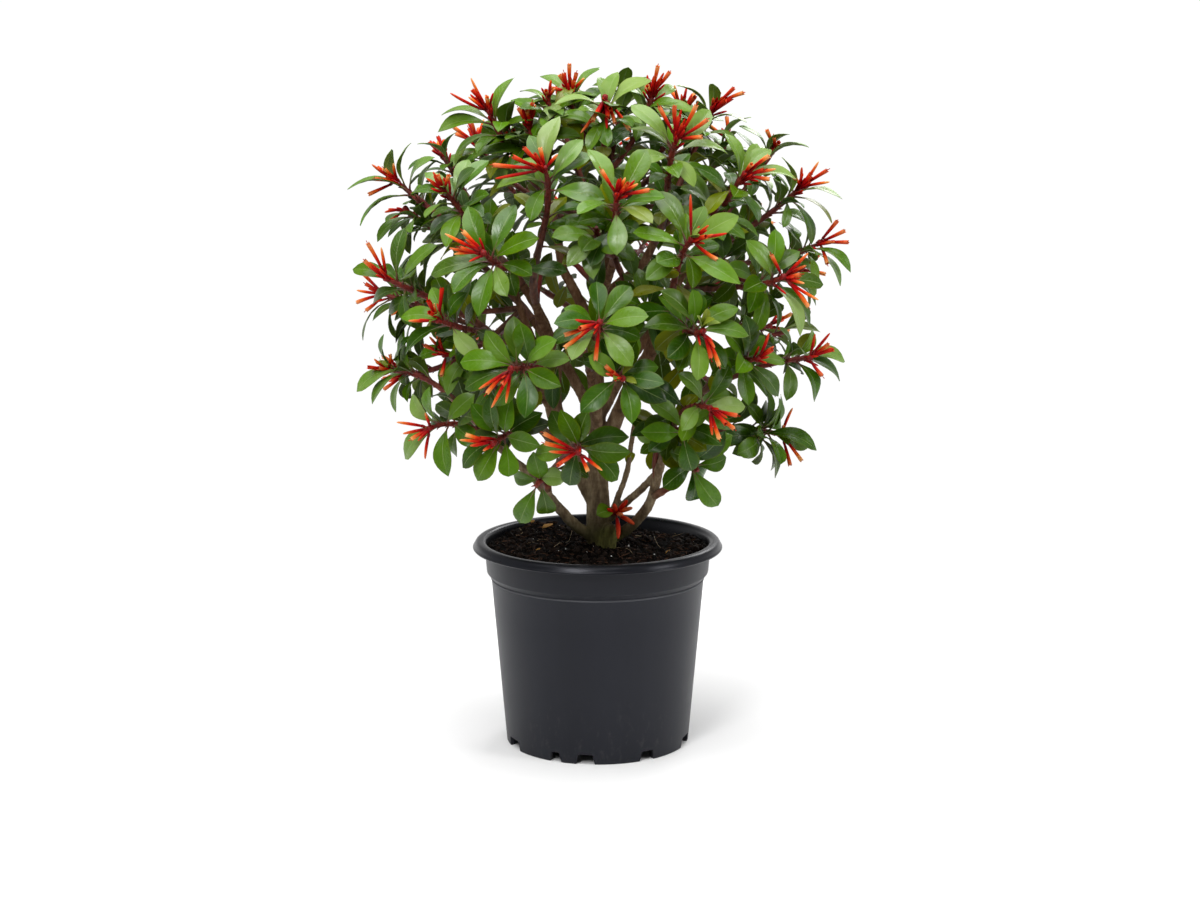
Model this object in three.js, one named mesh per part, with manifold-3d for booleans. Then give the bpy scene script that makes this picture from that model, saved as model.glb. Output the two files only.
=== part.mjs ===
// Potted firebush: a round nursery pot, its soil, and one bushy plant with red flowers.
// Units are millimetres, +Z is up, and the origin is the centre of the pot's foot on the floor.
// The plant grows from the trunk by one rule: limbs, leafy branches, shoots, then blooms and leaves.

import * as THREE from 'three';
import { mergeVertices } from 'three/addons/utils/BufferGeometryUtils.js';
import Module from 'manifold-3d';

const wasm = await Module();
wasm.setup();

// Pot
const RIM_RADIUS = 130;
const MOUTH_RADIUS = 116;
const MOUTH_BEVEL = 3;
const POT_HEIGHT = 215;
const LIP_HEIGHT = 8.5;
const BAND_BOTTOM = 181;
const STEP_HEIGHT = 6;
const BAND_RADII = [115.5, 117.6];
const BODY_TOP_RADIUS = 111;
const FOOT_RADIUS = 95.8;
// The rim's outline from its underside to its top: [out from the rim's radius, up from its underside]
const RIM_OUTLINE = [[-0.6, 0], [0, 0.7], [0, 1.5], [-1.4, 3.9], [-2.9, 6.6], [-5.5, 8.5]];
const WALL = 2.6;
const FOOT_RING = 5.2;
const FLOOR_RADIUS = 94;
const FLOOR_UNDERSIDE = 7;
const FLOOR_TOP = 9.6;
const POT_SIDES = 28;
const SLOT_REACH = 20;
const SLOT_OVERHANG = 6;
const SLOT_BOTTOM = -2;
const SLOT_TOP = 10.6;
const SLOT_DRAFT = 1.2;
// Each drainage slot: its middle, in degrees round from the front, and its width in degrees.
const SLOTS = [
  [-64.5, 14], [-26.7, 7], [-7.5, 10.5], [32, 9.5], [72.5, 14],
  [110, 9], [146, 9], [184, 14], [222, 9], [258, 9],
];

// Soil
const GAP = 0.3;
const SOIL_EDGE = 206;
const SOIL_CROWN = 210;
const SOIL_FOOT_RADIUS = 92.8;
const SOIL_STEP_RADIUS = 107.2;
const SOIL_TOP_RADIUS = 112.6;
// The rings of the soil's top, as shares of its radius
const SOIL_SHARES = [1, 0.82, 0.62, 0.42, 0.24];
const SOIL_LUMP = 2.2;
const SMOOTH_SOIL_RADIUS = 30;
const SOIL_SEED = 911;
const SOIL_SIDES = 18;
const HOLE_BOTTOM = 150;
const HOLE_CUT_TOP = 235;

// Wood
const STEM_FOOT = [3, -3];
const STEM_FOOT_RADIUS = 15.5;
const STEM_FOOT_TOP = 212;
const STEM_SIDES = 9;
const TRUNK_STEPS = 10;
const LIMB_SIDES = 5;
const LIMB_STEPS = 4;
const BRANCH_SIDES = 4;
const BRANCH_STEPS = 4;
const TWIG_SIDES = 3;
const TWIG_STEPS = 3;
const BRANCH_RADIUS = 4.2;
const TWIG_RADII = [3, 2.3];
const SHOOT_END = 9;
// A twig leaves its branch this share of the branch before the place nearest its shoot.
const FORK_BACK = 0.45;
const FORK_SHARES = [0.1, 0.6];
// A twig's curve: its knee and its last pull, as shares of the way from the fork to its end
const KNEE_BACK = 0.45;
const KNEE_BEND = 0.14;
const KNEE_PULL = 0.6;
const END_PULL = 0.28;
const BENDS = [0, 1, -1, 2, -2, 3, -3, 4, -4];
const RUN_CLEARANCE = 0.9;

// Crown: an upright squashed ball that holds every shoot's node
const CROWN_CENTRE = new THREE.Vector3(0, 0, 466);
const CROWN_RADII = new THREE.Vector3(212, 216, 208);
const UP = new THREE.Vector3(0, 0, 1);
const AXIS_RISE = 0.35;

// Leaves and flowers
const LEAF_LENGTH = 54;
const LEAF_LEAN = 0.1;
// A blade's width and arch as shares of its length: in the crown's middle, and on its outline
const LEAF_WIDTHS = [0.44, 0.34];
const LEAF_ARCHES = [0.11, 0.19];
const WIDEST_LEAF = 22;
const LEAF_RIB = 1.5;
// A blade faces along its shoot and upwards, and near the front also towards the viewer.
const FACE_OUT = 0.8;
const FACE_UP = 0.5;
const FRONT_PULL = new THREE.Vector3(0, -0.5, 0);
const PULL_DEPTH = 150;
// Where a blade's shoulders are along it, with their share of its width, and where its keel is
const LEAF_STATIONS = [[0.4, 0.88], [0.72, 0.94]];
const LEAF_KEEL = 0.55;
const LEAF_STEP = 2.4;
const LEAVES_KEPT = 5;
const ROOT_FACES = 3;
const FLOWER_LENGTH = 36;
const FLOWER_LEAN = 1;
const FLOWER_RADII = [1.1, 2.2];
const FLOWER_SIDES = 3;
const FLOWERS_KEPT = 4;
const BUD_TUBES = 2;
const BUD_ROOT = 2.5;
// A bloom's foot: [rise, radius] at each station, and the rise that its flowers start from
const FOOT_STATIONS = [[0, 2], [6.5, 3.8]];
const FOOT_SIDES = 3;
const FLOWER_RISE = 3.2;
const PIECE_CLEARANCE = 0.5;
// A piece that would cross another is turned about its shoot, leaned, then shortened until it is clear.
const TURNS = [0, 0.2, -0.2, 0.4, -0.4, 0.65, -0.65];
const LEANS = [0, 0.22, -0.22];
const SHRINKS = [1, 0.88, 0.76];
// A tip's depth: its length is at least this times what is seen, plus a share of what is missing.
const LEAST_STRETCH = 1.04;
const HIDDEN_SHARE = 0.35;
const TINY = 1e-6;
const PARALLEL = 1e-9;

// The trunk and limbs: each runs through its points, [x, y, z, radius].
const TRUNK = [
  [3, -3, 206, 15], [1, -2, 240, 13], [0, -1, 280, 11], [0, 1, 320, 9.8], [-1, 1, 361, 8.8],
  [-2, 2, 408, 8], [0, 0, 450, 7], [5, -1, 480, 5.6], [11, -3, 518, 4.8], [14, -5, 556, 4.4],
];
const LIMBS = {
  left_stem: [
    [1, -2, 244, 8], [-14, -4, 278, 9], [-31, -8, 316, 9.6], [-45, -10, 356, 9.2], [-42, -10, 404, 6],
  ],
  left_third: [
    [-45, -10, 366, 5.4], [-57, -14, 396, 5], [-66, -16, 424, 4.6], [-76, -18, 450, 4], [-84, -20, 478, 3],
  ],
  left_second: [
    [-8, -6, 270, 6], [-39, -16, 312, 5.6], [-59, -24, 337, 5], [-82, -32, 362, 4.2], [-99, -38, 376, 3],
  ],
  low_right_second: [[10, -9, 236, 4.4], [29, -15, 256, 4], [45, -24, 272, 3.8], [58, -40, 290, 3.8]],
  top_left: [
    [-1, 0, 436, 6], [-13, -2, 455, 5.4], [-28, -4, 483, 5], [-36, -5, 500, 4.8], [-42, -6, 540, 4.4],
  ],
  left_upper: [[-42, -10, 402, 5.4], [-49, -11, 430, 5], [-60, -13, 455, 4.6], [-76, -15, 482, 4.4]],
  left_front: [[-42, -11, 400, 5.4], [-48, -24, 427, 5], [-57, -40, 448, 4.8], [-62, -60, 470, 4.4]],
  left_middle: [[-40, -9, 345, 6], [-54, -15, 366, 5.6], [-70, -24, 386, 5], [-84, -32, 408, 4.4]],
  left_lower: [
    [0, -6, 215, 6.6], [-22, -17, 232, 5.8], [-44, -33, 259, 5.4], [-62, -42, 285, 5], [-84, -50, 306, 4.4],
  ],
  bottom_front: [[-44, -33, 259, 5], [-50, -58, 270, 4.8], [-50, -82, 284, 4.4]],
  centre_front: [[0, -1, 328, 6.4], [-2, -30, 362, 5.6], [-5, -60, 388, 5], [-8, -86, 406, 4.4]],
  upper_front: [[-1, 1, 450, 5.2], [8, -26, 482, 4.8], [15, -56, 508, 4.4]],
  right_top: [[4, 0, 468, 5], [26, -9, 487, 4.6], [45, -18, 503, 4.4], [57, -28, 526, 4.4]],
  right_front: [
    [4, -1, 282, 8], [15, -6, 331, 7.8], [26, -13, 360, 7.6], [40, -26, 392, 7.4], [54, -46, 418, 6.6],
    [64, -82, 448, 4.4],
  ],
  right_upper: [[50, -38, 410, 6.6], [62, -37, 442, 6], [73, -32, 474, 5.4], [90, -28, 500, 4.4]],
  right_lower: [[62, -52, 296, 5.6], [68, -46, 326, 5.2], [82, -36, 350, 4.8], [100, -28, 366, 4.4]],
  low_right: [
    [9, -7, 214, 6.6], [32, -19, 230, 5.8], [51, -30, 254, 5.4], [59, -40, 279, 5], [64, -58, 306, 4.4],
  ],
};

// The shoots that the front view shows, for each leafy branch: the shoot's node, then the tips of
// its leaves and of its flowers, each as [right, up] from the node in the front view.
// A shoot with bud: true has a small cluster that stays in the branch's own solid.
const FRONT_SHOOTS = {
  top_left: [
    { at: [-103, -37, 645], leaves: [[-53, 8], [-57, -9], [20, 45], [1, 27]],
      flowers: [[-43, 31], [-22, 46], [-25, 27], [-15, 32], [-6, 27]] },
    { at: [-65, -46, 631], leaves: [[-40, 12], [30, 34], [-20, -30]],
      flowers: [[-13, 30], [-5, 28], [-1, 35], [4, 34]] },
    { at: [-47, -33, 658], leaves: [[-31, 18], [-47, 4], [33, -32], [-15, -27], [24, 30]],
      flowers: [[-4, 20], [5, 22]], bud: true },
    { at: [-86, -23, 621], leaves: [[-12, -38], [-38, -10], [-30, 24]],
      flowers: [[3, 18], [-4, 16]], bud: true },
  ],
  left_upper: [
    { at: [-194, 0, 577], leaves: [[-13, 42], [6, 48], [30, 34], [-58, 2], [-46, -35]],
      flowers: [[-34, 27], [-22, 23], [-12, 28], [-32, 12], [-38, -4]] },
    { at: [-141, -117, 576], leaves: [[-37, 6], [16, 37], [36, 36], [-27, 24], [-24, -16]],
      flowers: [[-21, 20], [-12, 24], [-1, 24]] },
    { at: [-153, 30, 601], leaves: [[10, 34], [-30, 22], [-40, -4], [34, 14]],
      flowers: [[-12, 24], [-5, 24], [-16, 14]] },
    { at: [-187, 22, 548], leaves: [[-38, -24], [20, 34], [-8, -40]],
      flowers: [[-30, -8], [-33, 4]], bud: true },
  ],
  left_front: [
    { at: [-47, -162, 598],
      leaves: [[11, 58], [-18, 40], [33, 36], [-48, -8], [-16, -38], [42, 22], [54, -18]],
      flowers: [[-52, 14], [-50, 1], [-22, 30], [-33, 22], [-7, 30], [10, 24]] },
    { at: [-101, -184, 524],
      leaves: [[-21, 49], [24, 50], [46, 22], [-57, -16], [-11, -52], [17, -32], [-34, -30]],
      flowers: [[-42, 26], [-38, 12], [-25, 28], [-34, 6]] },
  ],
  left_middle: [
    { at: [-197, -81, 490], leaves: [[6, 54], [-46, 13], [40, 40], [-18, 16], [14, -40]],
      flowers: [[-28, 42], [-15, 38], [-32, 25]] },
    { at: [-209, 24, 464], leaves: [[-33, -42], [2, -45], [-40, 30], [26, -36]],
      flowers: [[-36, 26], [-32, 14], [-42, 7], [-42, -6], [-32, -14]] },
    { at: [-143, -164, 461], leaves: [[-16, 32], [20, 32], [-42, -32], [30, -30], [-46, 4]],
      flowers: [[-4, 36], [-13, 20], [-37, 4]] },
    { at: [-142, -32, 413], leaves: [[-14, -44], [-42, -6], [26, -34], [20, 34]],
      flowers: [[-33, 11], [-28, 20], [-20, 24], [-16, -20]], bud: true },
  ],
  left_lower: [
    { at: [-203, 0, 392], leaves: [[-15, 40], [14, 38], [-44, -20], [-28, -32], [-4, -40]],
      flowers: [[-26, 14], [-30, 4], [-8, 20]] },
    { at: [-154, -105, 354], leaves: [[-30, 27], [-10, 40], [34, 32], [-38, -38], [7, -50]],
      flowers: [[-44, 4], [-38, -8], [-30, -14], [-15, 14], [-16, -34]] },
    { at: [-93, -161, 350], leaves: [[-9, 43], [-38, -32], [-24, -45], [6, -42], [38, -4], [11, 43]],
      flowers: [[-40, 0], [-34, 5], [-30, -6], [-17, -10]] },
  ],
  bottom_front: [
    { at: [-57, -133, 303], leaves: [[-20, -46], [7, -38], [26, 6], [-5, 32], [-26, 0]], flowers: [] },
    { at: [-17, -184, 346], leaves: [[-18, 38], [8, 38], [48, -3], [36, -36], [-10, -42], [-43, -11]],
      flowers: [[-35, 15], [-34, 5], [-30, -3], [8, -22], [22, -22]] },
  ],
  centre_front: [
    { at: [2, -223, 467], leaves: [[-3, 38], [-42, 4], [29, 34], [45, 10], [30, -36], [-26, -30]],
      flowers: [[-30, 6], [-33, -8], [-33, -20], [-4, -32]] },
    { at: [-76, -201, 423],
      leaves: [[-3, 48], [-30, 34], [-54, 4], [-50, -22], [8, -44], [42, -14], [38, 29]],
      flowers: [[-36, -18], [-28, -22], [-24, -36], [-10, -32]] },
    { at: [22, -213, 416], leaves: [[40, -2], [10, -40], [-38, -30], [14, 38], [-30, 24]],
      flowers: [[-15, 14], [-8, 8]], bud: true },
  ],
  top: [
    { at: [-26, -20, 663], leaves: [[-32, 28], [28, 37], [-50, -6], [34, -12]],
      flowers: [[-2, 41], [-12, 30], [-22, 17], [5, 32], [13, 27]] },
    { at: [7, -73, 659], leaves: [[-49, 6], [-5, 32], [46, 29], [3, -34], [-16, -40], [13, 37]],
      flowers: [[-24, -22], [24, -18], [-12, -10], [10, -12]] },
    { at: [52, -15, 662], leaves: [[26, 18], [-34, 20], [44, -6], [-14, -34]],
      flowers: [[8, 40], [20, 34], [-3, 20]] },
    { at: [25, 15, 664], leaves: [[-30, 18], [26, 26], [6, 36]],
      flowers: [[-3, 18], [3, 14], [9, 12]], bud: true },
  ],
  upper_front: [
    { at: [17, -185, 576], leaves: [[-26, 50], [29, 50], [-36, -8], [34, -16], [1, -46]],
      flowers: [[-14, 33], [9, 26], [21, 20], [32, 14]] },
    { at: [-1, -141, 545], leaves: [[-38, 10], [-28, -30], [-3, -42], [36, -24]], flowers: [] },
    { at: [51, -118, 465], leaves: [[-34, -22], [30, -34], [10, 36]], flowers: [] },
  ],
  right_top: [
    { at: [72, -123, 623], leaves: [[-40, 42], [-40, 20], [36, 38], [54, -5], [20, -34], [-38, -10]],
      flowers: [[-14, 42], [1, 43], [22, 44], [33, 30], [28, 13]] },
    { at: [111, 0, 648], leaves: [[-32, 34], [4, 36], [38, -2], [-24, -30]],
      flowers: [[26, 32], [36, 27], [5, 22]] },
    { at: [127, 21, 616], leaves: [[-34, 18], [28, 34], [40, -12]],
      flowers: [[5, 34], [-12, 24], [0, 22]], bud: true },
  ],
  right_upper: [
    { at: [135, -108, 590], leaves: [[20, 38], [34, 32], [-12, 48], [58, 4], [-30, -28]],
      flowers: [[30, 28], [37, 15], [13, 20], [31, 5]] },
    { at: [172, 0, 608], leaves: [[-30, 34], [20, 26], [40, 13], [-18, -36]],
      flowers: [[-2, 30], [5, 24], [10, 18]], bud: true },
    { at: [197, 0, 571], leaves: [[50, -2], [40, -26], [20, -48], [-10, -30], [-12, 40]],
      flowers: [[26, 36], [35, 27], [38, 15], [9, 30], [1, 20]] },
    { at: [112, -91, 560], leaves: [[-32, 26], [10, -42], [40, 14]], flowers: [] },
    { at: [215, 0, 517], leaves: [[42, -22], [32, -36], [4, -36], [-12, 36]],
      flowers: [[28, 30], [36, 20], [40, 8], [18, -14]] },
    { at: [169, -131, 497], leaves: [[-27, 42], [3, 50], [50, -4], [26, -50], [-18, -46], [38, -46]],
      flowers: [[44, -16], [34, -23], [30, 0], [33, 30], [-3, 28]] },
  ],
  right_front: [
    { at: [83, -187, 537],
      leaves: [[-30, 50], [-50, 14], [18, 36], [50, 27], [5, -38], [-38, -30], [50, -34]],
      flowers: [[3, 50], [38, 13], [29, -12]] },
    { at: [93, -198, 456], leaves: [[-35, 42], [-50, 8], [0, -42], [50, -4], [40, 22], [6, 34]],
      flowers: [[21, -30], [13, -22]], bud: true },
  ],
  right_lower: [
    { at: [145, -134, 422], leaves: [[-36, -12], [5, 34], [38, -6], [32, -38], [-24, 30]],
      flowers: [[20, 28]], bud: true },
    { at: [200, -55, 412], leaves: [[50, -5], [45, -25], [20, -46], [18, 26], [-20, 34]],
      flowers: [[32, 28], [36, 11], [17, 27], [25, -16]] },
    { at: [188, 34, 426], leaves: [[30, 30], [42, 4], [-10, 40]], flowers: [] },
  ],
  low_right: [
    { at: [178, -11, 330], leaves: [[-52, -1], [-40, -20], [3, -44], [42, -18], [-26, 32], [8, 32]],
      flowers: [[22, 27], [12, 10], [20, -34], [32, -29]] },
    { at: [94, -113, 314], leaves: [[-30, -18], [34, 4], [0, -40], [26, -44], [-24, 18]], flowers: [] },
    { at: [100, -177, 384], leaves: [[-24, 34], [26, 36], [42, -4], [-20, -20]],
      flowers: [[16, -31], [30, -21], [33, -8], [9, -27]] },
    { at: [83, -161, 356], leaves: [[-42, 3], [-34, 32], [9, -42]], flowers: [] },
  ],
};

// The hidden side grows by rule: seeded shoots spread evenly over the crown behind the front ones.
const BACK_SEED = 4127;
const BACK_BRANCHES = {
  back_left: { azimuth: 150, height: 440, from: [3, 1, 330] },
  back_right: { azimuth: 32, height: 440, from: [3, 1, 345] },
  back_middle: { azimuth: 96, height: 420, from: [2, 2, 361] },
  back_top: { azimuth: 88, height: 530, from: [0, 0, 470] },
};
const BACK_REACH = 78;
const BACK_KNEE_RISE = 8;
const BACK_RADII = [6, 5.4, 4.4];
const BACK_SHOOTS = 25;
// Each range runs from its first value to its last: degrees round, height on a unit ball, and size.
const BACK_SWEEP = [8, 172];
const BACK_LEVELS = [0.94, -0.62];
const BACK_SIZES = [0.93, 1];
const BACK_LEAVES = 4;
const BACK_LEAF_LEANS = [1.35, 1.7];
const BACK_LEAF_SIZES = [0.85, 1];
const BACK_FLOWERS = 5;
const BACK_FLOWER_LEANS = [0.35, 0.75];
const BACK_FLOWER_SIZES = [0.9, 1.2];
const GOLDEN_TURN = 0.618034;
const FULL_TURN = 2 * Math.PI;

// The draws are a plain 31-bit congruential sequence, so the plant is the same each time.
function seededDraws(seed) {
  let state = seed;
  return () => {
    state = (state * 16807) % 2147483647;
    return state / 2147483647;
  };
}

function vector(values) {
  return new THREE.Vector3(values[0], values[1], values[2]);
}

function between([first, last], share) {
  return THREE.MathUtils.lerp(first, last, share);
}

function onlyPositions(geometry) {
  const bare = new THREE.BufferGeometry();
  bare.setAttribute('position', geometry.getAttribute('position').clone());
  if (geometry.index) bare.setIndex(geometry.index.clone());
  return mergeVertices(bare);
}

function solidOf(geometry) {
  const merged = onlyPositions(geometry);
  const corners = Array.from(merged.index.array);
  const faces = [];
  for (let i = 0; i < corners.length; i += 3) {
    const [a, b, c] = corners.slice(i, i + 3);
    if (a !== b && b !== c && c !== a) faces.push(a, b, c);
  }
  return new wasm.Manifold(new wasm.Mesh({
    numProp: 3,
    vertProperties: new Float32Array(merged.getAttribute('position').array),
    triVerts: new Uint32Array(faces),
  }));
}

function geometryOf(solid) {
  const mesh = solid.getMesh();
  const geometry = new THREE.BufferGeometry();
  geometry.setAttribute('position', new THREE.BufferAttribute(mesh.vertProperties, 3));
  geometry.setIndex(new THREE.BufferAttribute(mesh.triVerts, 1));
  geometry.computeVertexNormals();
  return geometry;
}

function fused(geometries) {
  return geometries.map(solidOf).reduce((whole, piece) => whole.add(piece));
}

// Materials
function finish(color, roughness) {
  return new THREE.MeshStandardMaterial({ color, roughness, metalness: 0 });
}

const FINISHES = {
  pot: finish(0x2c2d32, 0.42),
  soil: finish(0x241a14, 0.95),
  bark: finish(0x5a483e, 0.85),
  foliage: finish(0x4b7d2d, 0.5),
  bloom: finish(0xd6341c, 0.45),
};

// Pot: one turned wall, with drainage slots cut through its foot and floor
function potBlank() {
  const rim = RIM_OUTLINE.map(([out, up]) => [RIM_RADIUS + out, POT_HEIGHT - LIP_HEIGHT + up]);
  const profile = [
    [FOOT_RADIUS, 0],
    [BODY_TOP_RADIUS, BAND_BOTTOM - STEP_HEIGHT],
    [BAND_RADII[0], BAND_BOTTOM],
    [BAND_RADII[1], POT_HEIGHT - LIP_HEIGHT],
    ...rim,
    [MOUTH_RADIUS + MOUTH_BEVEL, POT_HEIGHT],
    [MOUTH_RADIUS, POT_HEIGHT - MOUTH_BEVEL],
    [BODY_TOP_RADIUS - WALL, BAND_BOTTOM - STEP_HEIGHT],
    [FLOOR_RADIUS, FLOOR_TOP],
    [0, FLOOR_TOP],
    [0, FLOOR_UNDERSIDE],
    [FOOT_RADIUS - FOOT_RING, FLOOR_UNDERSIDE],
    [FOOT_RADIUS - FOOT_RING, 0],
    [FOOT_RADIUS, 0],
  ];
  return turned(profile, POT_SIDES);
}

function turned(profile, sides) {
  const outline = profile.map(([radius, height]) => new THREE.Vector2(radius, height));
  return new THREE.LatheGeometry(outline, sides).rotateX(Math.PI / 2);
}

function drainageSlot(middle, width) {
  const half = FOOT_RADIUS * THREE.MathUtils.degToRad(width) / 2;
  const outline = new THREE.Shape([
    new THREE.Vector2(-half - SLOT_DRAFT, SLOT_BOTTOM),
    new THREE.Vector2(half + SLOT_DRAFT, SLOT_BOTTOM),
    new THREE.Vector2(half - SLOT_DRAFT, SLOT_TOP),
    new THREE.Vector2(-half + SLOT_DRAFT, SLOT_TOP),
  ]);
  const depth = SLOT_REACH + SLOT_OVERHANG;
  return new THREE.ExtrudeGeometry(outline, { depth, bevelEnabled: false })
    .rotateX(Math.PI / 2)
    .translate(0, -FOOT_RADIUS + SLOT_REACH, 0)
    .rotateZ(THREE.MathUtils.degToRad(middle));
}

function pot() {
  const slots = SLOTS.map(([middle, width]) => solidOf(drainageSlot(middle, width)));
  return geometryOf(slots.reduce((body, slot) => body.subtract(slot), solidOf(potBlank())));
}

// Soil: fills the pot, crowns gently to the stem, and has a plain hole for the stem's foot
function soilBlank() {
  const draw = seededDraws(SOIL_SEED);
  const bottom = FLOOR_TOP + GAP;
  const blank = onlyPositions(turned([
    [0, bottom],
    [SOIL_FOOT_RADIUS, bottom],
    [SOIL_STEP_RADIUS, BAND_BOTTOM - STEP_HEIGHT],
    ...SOIL_SHARES.map((share) => [SOIL_TOP_RADIUS * share, soilHeight(share)]),
    [0, SOIL_CROWN],
  ], SOIL_SIDES));
  const place = blank.getAttribute('position');
  for (let i = 0; i < place.count; i += 1) {
    const lump = (2 * draw() - 1) * SOIL_LUMP;
    const spread = Math.hypot(place.getX(i), place.getY(i));
    if (place.getZ(i) > BAND_BOTTOM && spread > SMOOTH_SOIL_RADIUS) place.setZ(i, place.getZ(i) + lump);
  }
  return blank;
}

function soilHeight(share) {
  return SOIL_EDGE + (SOIL_CROWN - SOIL_EDGE) * (1 - share * share);
}

function stemFoot(radius, bottom, top) {
  return new THREE.CylinderGeometry(radius, radius, top - bottom, STEM_SIDES)
    .rotateX(Math.PI / 2)
    .translate(STEM_FOOT[0], STEM_FOOT[1], (top + bottom) / 2);
}

function pottingSoil() {
  const hole = solidOf(stemFoot(STEM_FOOT_RADIUS + 2 * GAP, HOLE_BOTTOM, HOLE_CUT_TOP));
  return geometryOf(solidOf(soilBlank()).subtract(hole));
}

// Wood: a run of round rings along a curve, with flat ends
function woodRun(owner, points, radii, ends = {}) {
  const tangents = points.map((point, i) => {
    const before = points[Math.max(i - 1, 0)];
    const after = points[Math.min(i + 1, points.length - 1)];
    return after.clone().sub(before).normalize();
  });
  if (ends.first) tangents[0] = ends.first.clone();
  if (ends.last) tangents[points.length - 1] = ends.last.clone();
  return { owner, points, radii, tangents };
}

// A closed solid skinned over rings of corners, with a flat cap on its first and last ring
function ringedGeometry(rings) {
  const sides = rings[0].length;
  const last = (rings.length - 1) * sides;
  const faces = [];
  for (let ring = 0; ring < rings.length - 1; ring += 1) {
    for (let i = 0; i < sides; i += 1) {
      const here = ring * sides + i;
      const next = ring * sides + ((i + 1) % sides);
      faces.push(here, next, next + sides, here, next + sides, here + sides);
    }
  }
  for (let i = 1; i < sides - 1; i += 1) {
    faces.push(0, i + 1, i, last, last + i, last + i + 1);
  }
  return meshedFrom(rings.flat(), faces);
}

function ringAt(centre, side, tangent, radius, sides) {
  const other = tangent.clone().cross(side);
  return Array.from({ length: sides }, (_, i) => {
    const turn = (i / sides) * FULL_TURN;
    return centre.clone()
      .addScaledVector(side, radius * Math.cos(turn))
      .addScaledVector(other, radius * Math.sin(turn));
  });
}

function woodGeometry(run, sides) {
  let side = sidewaysOf(run.tangents[0]);
  return ringedGeometry(run.points.map((point, step) => {
    const tangent = run.tangents[step];
    side = side.clone().addScaledVector(tangent, -side.dot(tangent)).normalize();
    return ringAt(point, side, tangent, run.radii[step], sides);
  }));
}

function sampled(curve, steps) {
  return Array.from({ length: steps + 1 }, (_, i) => curve.getPoint(i / steps));
}

function taper(from, to, steps) {
  return Array.from({ length: steps + 1 }, (_, i) => THREE.MathUtils.lerp(from, to, i / steps));
}

function limbRun(owner, stations, steps) {
  const curve = new THREE.CatmullRomCurve3(stations.map(vector), false, 'catmullrom', 0.5);
  const spans = stations.length - 1;
  const radii = Array.from({ length: steps + 1 }, (_, i) => {
    const along = (i / steps) * spans;
    const span = Math.min(Math.floor(along), spans - 1);
    return THREE.MathUtils.lerp(stations[span][3], stations[span + 1][3], along - span);
  });
  return woodRun(owner, sampled(curve, steps), radii);
}

// The least distance between two straight pieces, p to q and r to s
function pieceDistance(p, q, r, s) {
  const d1 = q.clone().sub(p);
  const d2 = s.clone().sub(r);
  const w = p.clone().sub(r);
  const a = d1.dot(d1);
  const e = d2.dot(d2);
  const f = d2.dot(w);
  const c = d1.dot(w);
  const b = d1.dot(d2);
  const span = a * e - b * b;
  let along = span > PARALLEL ? THREE.MathUtils.clamp((b * f - c * e) / span, 0, 1) : 0;
  let other = (b * along + f) / e;
  if (other < 0 || other > 1) {
    other = THREE.MathUtils.clamp(other, 0, 1);
    along = THREE.MathUtils.clamp((b * other - c) / a, 0, 1);
  }
  const near = p.clone().addScaledVector(d1, along);
  return near.distanceTo(r.clone().addScaledVector(d2, other));
}

function runsClear(one, two) {
  for (let i = 1; i < one.points.length; i += 1) {
    for (let j = 1; j < two.points.length; j += 1) {
      const reach = one.radii[i - 1] + two.radii[j - 1] + RUN_CLEARANCE;
      const gap = pieceDistance(one.points[i - 1], one.points[i], two.points[j - 1], two.points[j]);
      if (gap < reach) return false;
    }
  }
  return true;
}

// Shoots
function outwardAt(node) {
  const from = node.clone().sub(CROWN_CENTRE);
  return from.divide(CROWN_RADII).divide(CROWN_RADII).normalize();
}

// 0 in the middle of the front or back view, 1 on the crown's outline
function rimShare(place) {
  const off = place.clone().sub(CROWN_CENTRE);
  return Math.min(Math.hypot(off.x / CROWN_RADII.x, off.z / CROWN_RADII.z), 1) ** 2;
}

function shootAxis(node) {
  return outwardAt(node).addScaledVector(UP, AXIS_RISE).normalize();
}

// A tip seen in the front view gets the depth that its length leaves, on the side that suits its lean.
function tipFromView([right, up], axis, fullLength, lean) {
  const seen = Math.hypot(right, up);
  const length = Math.max(seen * LEAST_STRETCH, seen + HIDDEN_SHARE * (fullLength - seen));
  const depth = Math.sqrt(length * length - seen * seen);
  const near = new THREE.Vector3(right, -depth, up);
  const far = new THREE.Vector3(right, depth, up);
  const miss = (tip) => Math.abs(tip.dot(axis) / length - lean);
  return miss(near) <= miss(far) ? near : far;
}

function frontShoots() {
  const shoots = [];
  for (const [branch, rows] of Object.entries(FRONT_SHOOTS)) {
    for (const row of rows) {
      const node = vector(row.at);
      const axis = shootAxis(node);
      const pull = THREE.MathUtils.clamp(-node.y / PULL_DEPTH, 0, 1);
      shoots.push({
        branch,
        node,
        axis,
        facing: axis.clone().addScaledVector(FRONT_PULL, pull),
        bud: Boolean(row.bud),
        leaves: row.leaves.map((tip) => tipFromView(tip, axis, LEAF_LENGTH, LEAF_LEAN)),
        flowers: row.flowers.map((tip) => tipFromView(tip, axis, FLOWER_LENGTH, FLOWER_LEAN)),
      });
    }
  }
  return shoots;
}

function sidewaysOf(axis) {
  return new THREE.Vector3().crossVectors(axis, Math.abs(axis.z) > 0.9 ? new THREE.Vector3(1, 0, 0) : UP)
    .normalize();
}

function around(axis, turn, lean, length) {
  const side = sidewaysOf(axis);
  const other = side.clone().cross(axis);
  return axis.clone().multiplyScalar(Math.cos(lean))
    .addScaledVector(side, Math.sin(lean) * Math.cos(turn))
    .addScaledVector(other, Math.sin(lean) * Math.sin(turn))
    .multiplyScalar(length);
}

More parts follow.
